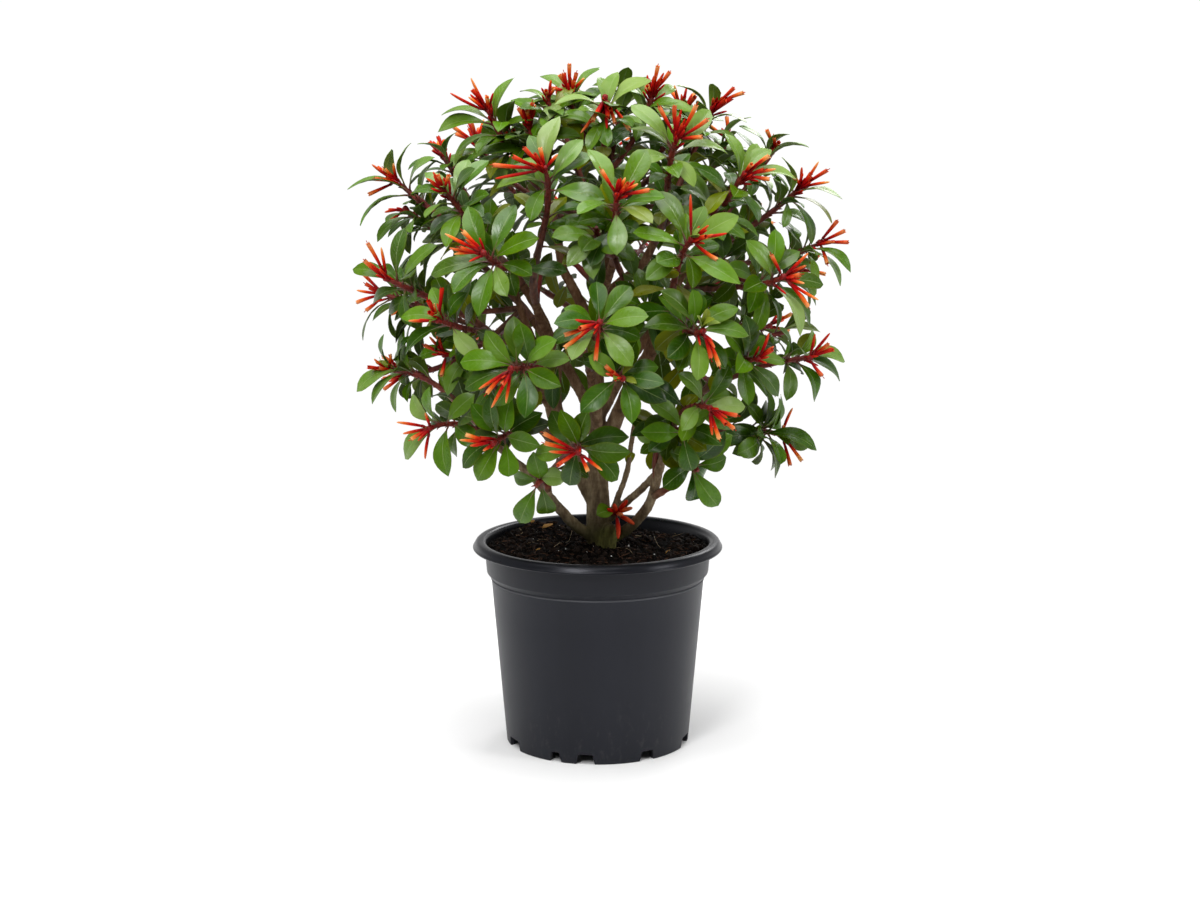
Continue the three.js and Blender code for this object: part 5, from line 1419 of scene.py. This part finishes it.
def add_dry_bit(piece, x, y, length, turn):
    """A curled scrap of dry leaf: two sheets of corners, three across, and the rim between them."""
    way = Vector((math.cos(turn), math.sin(turn), 0.15))
    across = Vector((-math.sin(turn), math.cos(turn), 0))
    centre = on_soil(x, y, 1.6)
    upper = []
    for share, half, rise in DRY_ROWS:
        for side in (-1, 0, 1):
            lift = rise + (0.5 if side == 0 else -0.2)
            upper.append(centre + way * share * length + across * half * side * length + UP * lift)
    lower = [corner - UP * 0.5 for corner in upper]
    rows, count = len(DRY_ROWS) - 1, len(upper)
    faces = grid_faces(rows, 2) + grid_faces(rows, 2, count, flip=True) + rim_faces(DRY_RIM, count)
    piece.add(upper + lower, faces, DRY_TONE)


def add_pale_root(piece, points, draw):
    curve = through([on_soil(x, y, 0.7) for x, y in points])
    stops = [Vector((p.x, p.y, max(p.z, soil_height(p.x, p.y) + 0.3) + draw(0, 0.6)))
             for p in sampled(curve, ROOT_STEPS)]
    piece.add(*tube(stops, [0.34 - 0.012 * i for i in range(ROOT_STEPS + 1)], 5), ROOT_TONE)


def dress_litter(material):
    draw = seeded_draws(LITTER_SEED)
    litter = Piece("soil_litter")

    def spot(margin):
        radius, angle = (SOIL_TOUCH - margin) * math.sqrt(draw()), draw(0, FULL_TURN)
        return radius * math.cos(angle), radius * math.sin(angle)

    for i in range(CRUMBS):
        x, y = spot(4)
        size = (draw(0.4, 1.6) ** 2 + 0.3) * (1.7 if i % COARSE_CRUMB == 0 else 1)
        dark = draw(0.3, 1.5)
        add_crumb(litter, on_soil(x, y, 0.25 * size), size, [value * dark for value in CRUMB_TONE], draw)
    for _ in range(FIBRES):
        add_fibre(litter, *spot(10), draw)
    for x, y in WHITE_GRAINS:
        add_crumb(litter, on_soil(x, y, 0.8), draw(0.8, 1.3), WHITE_TONE, draw)
    for _ in range(SPECKS):
        add_crumb(litter, on_soil(*spot(8), 0.4), draw(0.3, 0.6), SPECK_TONE, draw)
    for bit in DRY_BITS:
        add_dry_bit(litter, *bit)
    for points in PALE_ROOTS:
        add_pale_root(litter, points, draw)
    litter.make([material], "soil")


# Materials. Heights and distances in them are metres, and colours are linear.
class Nodes:
    """Short calls for the nodes of one shader tree."""

    def __init__(self, tree, coordinates):
        self.tree = tree
        self.place = self.new("TexCoord").outputs[coordinates]

    def new(self, kind, inputs=(), **settings):
        """A node with its settings, and with values or links for its sockets, by name or number."""
        node = self.tree.nodes.new("ShaderNode" + kind)
        for name, setting in settings.items():
            setattr(node, name, setting)
        for name, value in dict(inputs).items():
            self.put(node.inputs[name], value)
        return node

    def put(self, socket, value):
        if isinstance(value, bpy.types.NodeSocket):
            self.tree.links.new(value, socket)
        elif value is not None:
            socket.default_value = value

    def axes(self, vector=None):
        return self.new("SeparateXYZ", {"Vector": vector or self.place}).outputs

    def stretched(self, stretch):
        return self.new("Mapping", {"Scale": stretch, "Vector": self.place}).outputs["Vector"]

    def noise(self, scale, detail=4, stretch=(1, 1, 1), roughness=0.55):
        return self.new("TexNoise", {"Scale": scale, "Detail": detail, "Roughness": roughness,
                                     "Vector": self.stretched(stretch)}).outputs["Fac"]

    def math(self, kind, *values):
        return self.new("Math", enumerate(values), operation=kind).outputs["Value"]

    def times(self, a, b):
        return self.math("MULTIPLY", a, b)

    def plus(self, a, b):
        return self.math("ADD", a, b)

    def minus(self, a, b):
        return self.math("SUBTRACT", a, b)

    def line(self, value, slope, start):
        """The value times a slope, from a start."""
        return self.math("MULTIPLY_ADD", value, slope, start)

    def spread(self, value, low, high, to_low=0.0, to_high=1.0):
        """The value's range from low to high, eased onto another range."""
        return self.new("MapRange", {"Value": value, "From Min": low, "From Max": high, "To Min": to_low,
                                     "To Max": to_high}, interpolation_type="SMOOTHSTEP").outputs["Result"]

    def ramp(self, value, shares, colours):
        node = self.new("ValToRGB", {"Fac": value})
        marks = node.color_ramp.elements
        while len(marks) < len(shares):
            marks.new(0.5)
        for mark, share, colour in zip(marks, shares, colours):
            mark.position = share
            mark.color = (*colour, 1)
        return node.outputs["Color"]

    def mix(self, share, first, second):
        # A colour mix has its factor and its two colours at these places among the node's sockets.
        first, second = ((*value, 1) if isinstance(value, tuple) else value for value in (first, second))
        return self.new("Mix", {0: share, 6: first, 7: second}, data_type="RGBA").outputs[2]


class Looks(Nodes):
    """A material with a Principled shader, and short calls for the nodes that feed it."""

    def __init__(self, name, roughness, specular):
        self.material = bpy.data.materials.new(name)
        self.material.use_nodes = True
        super().__init__(self.material.node_tree, "Object")
        self.shader = self.tree.nodes["Principled BSDF"]
        self.shader.inputs["Roughness"].default_value = roughness
        self.shader.inputs["Specular IOR Level"].default_value = specular

    def to(self, name, value):
        self.put(self.shader.inputs[name], value)

    def tone(self):
        """The piece's own three values at each corner, as a colour and one by one."""
        colour = self.new("Attribute", attribute_name="tone").outputs["Color"]
        return colour, *self.new("SeparateColor", {"Color": colour}).outputs[:3]

    def bump(self, height, distance, strength=1.0):
        """Relief that is so many millimetres deep."""
        node = self.new("Bump", {"Distance": distance * MM, "Strength": strength, "Height": height})
        self.to("Normal", node.outputs["Normal"])
        return node.outputs["Normal"]


# Each side of a leaf: greens from the darkest to the palest, yellow, roughness, light let through
LEAF_UPPER = (
    [(0.0055, 0.026, 0.0002), (0.027, 0.092, 0.0003), (0.088, 0.212, 0.007), (0.228, 0.342, 0.09)],
    (0.19, 0.2, 0.001), 0.23, 0.12)
LEAF_UNDER = (
    [(0.02, 0.05, 0.003), (0.058, 0.12, 0.007), (0.12, 0.21, 0.02), (0.24, 0.34, 0.08)],
    (0.22, 0.23, 0.003), 0.45, 0.22)
LEAF_SHARES = (0, 0.35, 0.65, 1)
VEIN_COUNT = 8.5
VEIN_SLANT = 4.4
# Leaves high in the crown catch more light: where that begins and ends, and the gloss there
GLOSS_RISE = (0.42, 0.66, 0.18, 0.52)
MOST_GLOSS = 0.55
# Between these heights, wood turns from the foot's brown to the crown's redder brown.
BROWN_TO_RED = (0.25, 0.42)
GRAIN_SHARES = (0.3, 0.55, 0.8)
YOUNG_BARK = [(0.06, 0.006, 0.004), (0.15, 0.017, 0.011), (0.26, 0.055, 0.035)]
LOW_TWIG = [(0.05, 0.03, 0.015), (0.19, 0.125, 0.068), (0.34, 0.25, 0.15)]
HIGH_TWIG = [(0.035, 0.011, 0.006), (0.115, 0.045, 0.024), (0.22, 0.11, 0.066)]
LOW_BARK = [(0.05, 0.033, 0.018), (0.19, 0.135, 0.08), (0.38, 0.3, 0.19)]
HIGH_BARK = [(0.026, 0.011, 0.005), (0.108, 0.053, 0.026), (0.225, 0.138, 0.078)]
RIB_GREENS = [(0.11, 0.018, 0.012), (0.16, 0.12, 0.04), (0.2, 0.31, 0.1)]
FLOWER_REDS = [(0.14, 0.001, 0.003), (0.36, 0.002, 0.004), (0.56, 0.014, 0.003)]
FLOWER_ORANGES = [(0.17, 0.001, 0.003), (0.4, 0.002, 0.002), (0.62, 0.028, 0.003),
                  (0.78, 0.17, 0.018), (0.87, 0.47, 0.17)]
POT_GREYS = [(0.0058, 0.0066, 0.0095), (0.0095, 0.0105, 0.0145)]
PEAT = [(0.0006, 0.0004, 0.0003), (0.0022, 0.0012, 0.0008), (0.016, 0.008, 0.0042)]


def leaf_look(name, greens, yellow, roughness, glow):
    """Leaf green from the leaf's paleness, partly its own and partly painted sheen, highlight and shade,
    with pale veins that branch from the rib.
    """
    look = Looks(name, roughness, 0.36)
    _, paleness, drawn, yellowness = look.tone()
    across, along, _ = look.axes(look.new("UVMap", uv_map="place").outputs["UV"])
    off = look.math("ABSOLUTE", look.minus(across, 0.5))
    mottle = look.noise(60, 5)
    paleness = look.plus(paleness, look.times(look.minus(mottle, 0.5), 0.45))
    green = look.mix(look.times(yellowness, 0.85), look.ramp(paleness, LEAF_SHARES, greens), yellow)
    green = look.mix(look.spread(off, 0.36, 0.5, 0, 0.16), green, yellow)
    side_vein = look.math("FRACT", look.minus(look.times(along, VEIN_COUNT), look.times(off, VEIN_SLANT)))
    ridge = look.math("ABSOLUTE", look.minus(side_vein, 0.5))
    side_vein = look.times(look.spread(ridge, 0.09, 0.02), look.spread(off, 0.47, 0.3))
    rib = look.spread(off, 0.028, 0.008)
    veins = look.math("MAXIMUM", look.times(side_vein, 0.06), look.times(rib, 0.38))
    vein_green = tuple(0.45 * value + 0.55 * more for value, more in zip(greens[-1], (0.42, 0.5, 0.2)))
    look.to("Base Color", look.mix(veins, green, vein_green))
    gloss = look.times(look.spread(look.axes()["Z"], *GLOSS_RISE), look.line(drawn, 1.9, 0.12))
    look.to("Specular IOR Level", look.math("MINIMUM", gloss, MOST_GLOSS))
    look.to("Roughness", look.line(drawn, 0.1, look.line(mottle, 0.22, roughness - 0.12)))
    fine = look.times(look.noise(300, 3), 0.3)
    normal = look.bump(look.minus(fine, look.plus(look.times(side_vein, 0.5), rib)), 0.35, 0.4)
    # Light that falls on one side shows through to the other.
    through_leaf = look.new("BsdfTranslucent", {"Color": look.mix(0.55, green, yellow), "Normal": normal})
    blend = look.new("MixShader", {
        "Fac": glow, 1: look.shader.outputs["BSDF"], 2: through_leaf.outputs["BSDF"]})
    look.put(look.tree.nodes["Material Output"].inputs["Surface"], blend.outputs["Shader"])
    return look.material


def rib_look():
    """Stalks are maroon where they leave the wood and turn green along the blade."""
    look = Looks("leaf rib", 0.5, 0.5)
    _, green, _, _ = look.tone()
    speck = look.noise(500, 3)
    colour = look.ramp(green, (0, 0.35, 1), RIB_GREENS)
    look.to("Base Color", look.mix(look.times(speck, 0.35), colour, (0.05, 0.03, 0.015)))
    look.bump(speck, 0.1)
    return look.material


def twig_look():
    """Maroon young bark that turns brown with age."""
    look = Looks("young bark", 0.55, 0.25)
    _, age, _, _ = look.tone()
    grain = look.noise(180, 5, (1, 1, 0.4))
    barks = (YOUNG_BARK, LOW_TWIG, HIGH_TWIG)
    young, low, high = (look.ramp(grain, GRAIN_SHARES, tones) for tones in barks)
    old = look.mix(look.spread(look.axes()["Z"], *BROWN_TO_RED), low, high)
    look.to("Base Color", look.mix(age, young, old))
    look.to("Roughness", look.line(grain, 0.25, 0.4))
    look.bump(look.plus(grain, look.times(look.noise(700, 2), 0.4)), 0.35)
    return look.material


def bark_look():
    """Grey-brown bark, greener at the foot and redder in the upper limbs, with painted shade just above the
    soil.
    """
    look = Looks("old bark", 0.85, 0.1)
    height = look.axes()["Z"]
    plates = look.noise(140, 6, (1, 1, 0.28), 0.62)
    cracks = look.noise(420, 4, (1, 1, 0.35))
    rings = look.noise(260, 3, (0.15, 0.15, 1))
    mass = look.plus(look.times(plates, 0.6), look.plus(look.times(cracks, 0.25), look.times(rings, 0.15)))
    low = look.ramp(mass, (0.3, 0.48, 0.66), LOW_BARK)
    high = look.ramp(mass, (0.3, 0.5, 0.7), HIGH_BARK)
    colour = look.mix(look.spread(height, *BROWN_TO_RED), low, high)
    moss = look.times(look.spread(height, 0.25, 0.2), look.spread(look.noise(70, 3), 0.42, 0.62))
    colour = look.mix(look.times(moss, 0.5), colour, (0.16, 0.17, 0.07))
    # Painted shade: the bark darkens towards the soil at the foot.
    colour = look.mix(look.spread(height, 0.256, 0.22, 0, 0.8), colour, (0.03, 0.031, 0.007))
    # The cut face of the stub by the foot is olive.
    stub = Vector(STUB[1][:3]) * MM + Vector((0, -0.006, 0.006))
    off = look.new("VectorMath", {0: look.place, 1: stub}, operation="DISTANCE").outputs["Value"]
    olive = look.ramp(mass, (0.35, 0.6), [(0.02, 0.018, 0.004), (0.13, 0.13, 0.035)])
    look.to("Base Color", look.mix(look.spread(off, 0.02, 0.011, 0, 0.85), colour, olive))
    look.bump(mass, 1.4, 0.9)
    return look.material


def flower_look():
    """Deep red at the root, orange-red along the tube, paler orange at the mouth."""
    look = Looks("flower", 0.42, 0.08)
    _, along, orange, drawn = look.tone()
    streak = look.noise(350)
    place = look.plus(along, look.times(look.minus(streak, 0.5), 0.25))
    red = look.ramp(place, (0.2, 0.6, 0.95), FLOWER_REDS)
    warm = look.ramp(place, (0.2, 0.42, 0.6, 0.78, 1), FLOWER_ORANGES)
    dim = look.times(look.spread(along, 0.5, 0.3), look.spread(drawn, 0, 1, 0, 0.3))
    look.to("Base Color", look.mix(dim, look.mix(orange, red, warm), (0.18, 0.002, 0.003)))
    look.to("Roughness", look.line(streak, 0.2, 0.32))
    look.to("Subsurface Weight", 0.05)
    look.to("Subsurface Radius", (0.0012, 0.0005, 0.0003))
    look.to("Subsurface Scale", 1)
    look.bump(streak, 0.15)
    return look.material


def stalk_look():
    look = Looks("flower stalk", 0.5, 0.2)
    speck = look.noise(420)
    look.to("Base Color", look.ramp(speck, (0.3, 0.7), [(0.08, 0.003, 0.004), (0.3, 0.012, 0.01)]))
    look.bump(speck, 0.15)
    return look.material


def pot_look():
    """Charcoal moulded plastic: fine grain, faint flow marks, dusty scuffs near the foot, painted shade on
    the band and rim, and a painted highlight under the band.
    """
    look = Looks("moulded plastic", 0.4, 0.25)
    height = look.axes()["Z"]
    look.to("Specular Tint", (0.9, 0.91, 1, 1))
    flow = look.noise(22, 4, (1, 1, 0.12))
    scuff = look.noise(160, 6, (1, 1, 0.5), 0.7)
    colour = look.ramp(flow, (0.25, 0.75), POT_GREYS)
    dust = look.times(look.spread(height, 0.09, 0, 0, 0.12), look.spread(scuff, 0.52, 0.72))
    colour = look.mix(dust, colour, (0.13, 0.12, 0.11))
    # The band and rim above the step are darker: painted shade.
    colour = look.mix(look.spread(height, 0.178, 0.184, 0, 0.4), colour, (0.003, 0.003, 0.004))
    # A thin line under the band is paler: a painted highlight.
    painted_line_under_band = look.times(look.spread(height, 0.1736, 0.1744), look.spread(height, 0.1762, 0.1754, 0, 0.5))
    look.to("Base Color", look.mix(painted_line_under_band, colour, (0.1, 0.102, 0.11)))
    matt = look.plus(look.line(flow, 0.12, 0.34), look.times(dust, 0.8))
    glossy_rim = look.spread(height, 0.205, 0.208, 0, -0.14)
    look.to("Roughness", look.plus(look.line(scuff, 0.06, matt), glossy_rim))
    look.bump(look.plus(look.noise(1500, 2), look.times(flow, 1.5)), 0.06, 0.6)
    return look.material


def soil_look():
    look = Looks("damp peat", 0.9, 0.06)
    clod = look.noise(260, 7, roughness=0.7)
    cells = look.new("TexVoronoi", {"Scale": 420, "Vector": look.stretched((1, 1, 1))})
    fleck = cells.outputs["Distance"]
    colour = look.ramp(clod, (0.3, 0.55, 0.78), PEAT)
    look.to("Base Color", look.mix(look.spread(fleck, 0.18, 0.05, 0, 0.5), colour, (0.034, 0.018, 0.01)))
    look.bump(look.plus(clod, fleck), 1.2)
    return look.material


def litter_look():
    look = Looks("bark crumb", 0.8, 0.12)
    colour, *_ = look.tone()
    speck = look.noise(900)
    look.to("Base Color", look.mix(look.spread(speck, 0.4, 0.7, 0, 0.45), colour, (0.02, 0.012, 0.008)))
    look.bump(speck, 0.4)
    return look.material


def floor_look():
    look = Looks("floor paper", 0.9, 0.2)
    look.to("Base Color", look.ramp(look.noise(3, 2), (0.3, 0.7), [(0.9, 0.9, 0.9), (0.92, 0.92, 0.92)]))
    return look.material


def make_materials():
    return {
        "upper": leaf_look("leaf upper side", *LEAF_UPPER),
        "under": leaf_look("leaf under side", *LEAF_UNDER),
        "rib": rib_look(), "twig": twig_look(), "bark": bark_look(), "flower": flower_look(),
        "stalk": stalk_look(), "pot": pot_look(), "soil": soil_look(), "litter": litter_look(),
    }


PLANT_SEED = 2718
BUD_SHOOT_FLOWERS = 3


def add_inner_leaves(blades, wood, draw):
    """Old yellowed leaves inside the bush, then the leaves of the fuller clusters."""
    for branch, leaves in OLD_LEAVES.items():
        for root, tip in leaves:
            root, tip = Vector(root), Vector(tip)
            tone = (draw(*OLD_PALENESS), draw(), draw(*OLD_YELLOW))
            add_leaf(blades[branch], wood[branch], root, tip, OLD_FACING, tone, draw, OLD_WIDTH)
    for branch, clusters in FULL_CLUSTERS.items():
        for root, tips in clusters:
            root = Vector(root)
            facing = shoot_axis(root) + FRONT_PULL
            for tip in map(Vector, tips):
                tone = leaf_tone(tip, draw, ADDED_TONE)
                add_leaf(blades[branch], wood[branch], root, tip, facing, tone, draw)


def dress_plant(materials):
    shoots = front_shoots() + back_shoots()
    limbs = grow_wood(shoots)
    dress_trunk(limbs, materials["bark"])
    draw = seeded_draws(PLANT_SEED)
    bloom_materials = [materials["flower"], materials["stalk"]]
    branches = list(dict.fromkeys(shoot.branch for shoot in shoots))
    blades, wood, buds = (
        {branch: Piece(f"{kind}_{branch}") for branch in branches} for kind in ("leaves", "twigs", "buds"))
    blooms = 0
    for shoot in shoots:
        flowering = bool(shoot.flowers) and not shoot.bud
        blooms += flowering
        if not shoot.run:
            continue
        add_twig(wood[shoot.branch], shoot.run, draw)
        for grow in (grow_whorl, grow_rear_leaves, grow_young_leaves):
            grow(shoot, blades[shoot.branch], wood[shoot.branch], draw)
        if flowering:
            bloom = Piece(f"flowers_{blooms:02d}")
            level = bloom_level(shoot.node)
            more, young = (round(between(ends, level)) for ends in (BLOOM_FLOWERS, BLOOM_BUDS))
            grow_bloom(shoot, bloom, draw, more, young)
            bloom.make(bloom_materials, "bloom", [f"bloom_{blooms:02d}"])
        elif shoot.bud:
            grow_bloom(shoot, buds[shoot.branch], draw, BUD_SHOOT_FLOWERS - len(shoot.flowers), 3)
    grow_low_cluster(materials)
    add_inner_leaves(blades, wood, draw)
    for branch, runs in THIN_WOOD.items():
        for stations in runs:
            add_twig(wood[branch], limb_run(branch, stations, 10), draw)
    for branch in branches:
        node = f"leafy_branch_{branch}"
        wood[branch].make([materials["twig"], materials["rib"]], "bark", [node])
        blades[branch].make([materials["upper"], materials["under"]], "foliage", [node])
        if buds[branch].count:
            buds[branch].make(bloom_materials, "bloom")


# Studio: a round pale floor under a wide soft light, in a white room whose ceiling is dim
FLOOR_RADIUS = 720
FLOOR_SIDES = 96
ROOM_HORIZON = (0.04, 0.3, 1.02, 0.42)
ROOM_FRONT = (-0.95, 0.1, 0.25, 1)
LIGHTS = [
    # name, place, what it shines at, width and height, power in watts
    ("overhead", (-150, -350, 2500), (0, 0, 0), (2500, 2500), 80),
    ("key", (-800, -2000, 1800), (0, 0, 420), (700, 900), 30),
    ("right", (1900, -900, 1000), (0, 0, 380), (500, 1300), 15),
    ("behind", (700, 1700, 1500), (0, 0, 450), (900, 900), 14),
]


def make_room():
    """White below and along the horizon, and dimmer overhead, so that gloss has something to show."""
    world = bpy.data.worlds.new("studio")
    world.use_nodes = True
    room = Nodes(world.node_tree, "Generated")
    _, depth, rise = room.axes()
    # The front wall lights dimly, so that what faces the viewer keeps its own colour, but looks white.
    seen = room.new("LightPath").outputs["Is Camera Ray"]
    front = room.math("MAXIMUM", room.spread(depth, *ROOM_FRONT), seen)
    background = world.node_tree.nodes["Background"].inputs
    room.put(background["Strength"], room.times(room.spread(rise, *ROOM_HORIZON), front))
    room.put(background["Color"], (1, 1, 1, 1))
    bpy.context.scene.world = world


def make_studio():
    radius = FLOOR_RADIUS * MM
    rim = [(radius * math.cos(a), radius * math.sin(a), 0) for a in turns_of(FLOOR_SIDES)]
    floor_mesh = bpy.data.meshes.new("floor")
    floor_mesh.from_pydata(rim, [], [tuple(range(FLOOR_SIDES))])
    floor_mesh.materials.append(floor_look())
    placed("floor", floor_mesh)
    make_room()
    for name, place, target, (width, height), power in LIGHTS:
        light = bpy.data.lights.new(name, "AREA")
        light.shape = "RECTANGLE"
        light.size, light.size_y = width * MM, height * MM
        light.energy = power
        lamp = placed(name, light)
        lamp.location = Vector(place) * MM
        lamp.rotation_euler = (Vector(target) - Vector(place)).to_track_quat("-Z", "Y").to_euler()


def make_camera():
    camera = bpy.data.cameras.new("camera")
    camera.lens = CAMERA_LENS
    camera.sensor_width = SENSOR_WIDTH
    camera.shift_x = AXIS_OFF_CENTRE_PX / FRAME_WIDTH_PX
    camera.clip_start, camera.clip_end = 0.05, 50
    stand = placed("camera", camera)
    stand.location = Vector(CAMERA_PLACE) * MM
    stand.rotation_euler = (math.radians(90 - CAMERA_PITCH), 0, 0)
    bpy.context.scene.camera = stand
    bpy.context.scene.view_settings.view_transform = "Standard"


make_camera()
make_studio()
materials = make_materials()
dress_pot(materials["pot"])
dress_soil(materials["soil"])
dress_litter(materials["litter"])
dress_plant(materials)
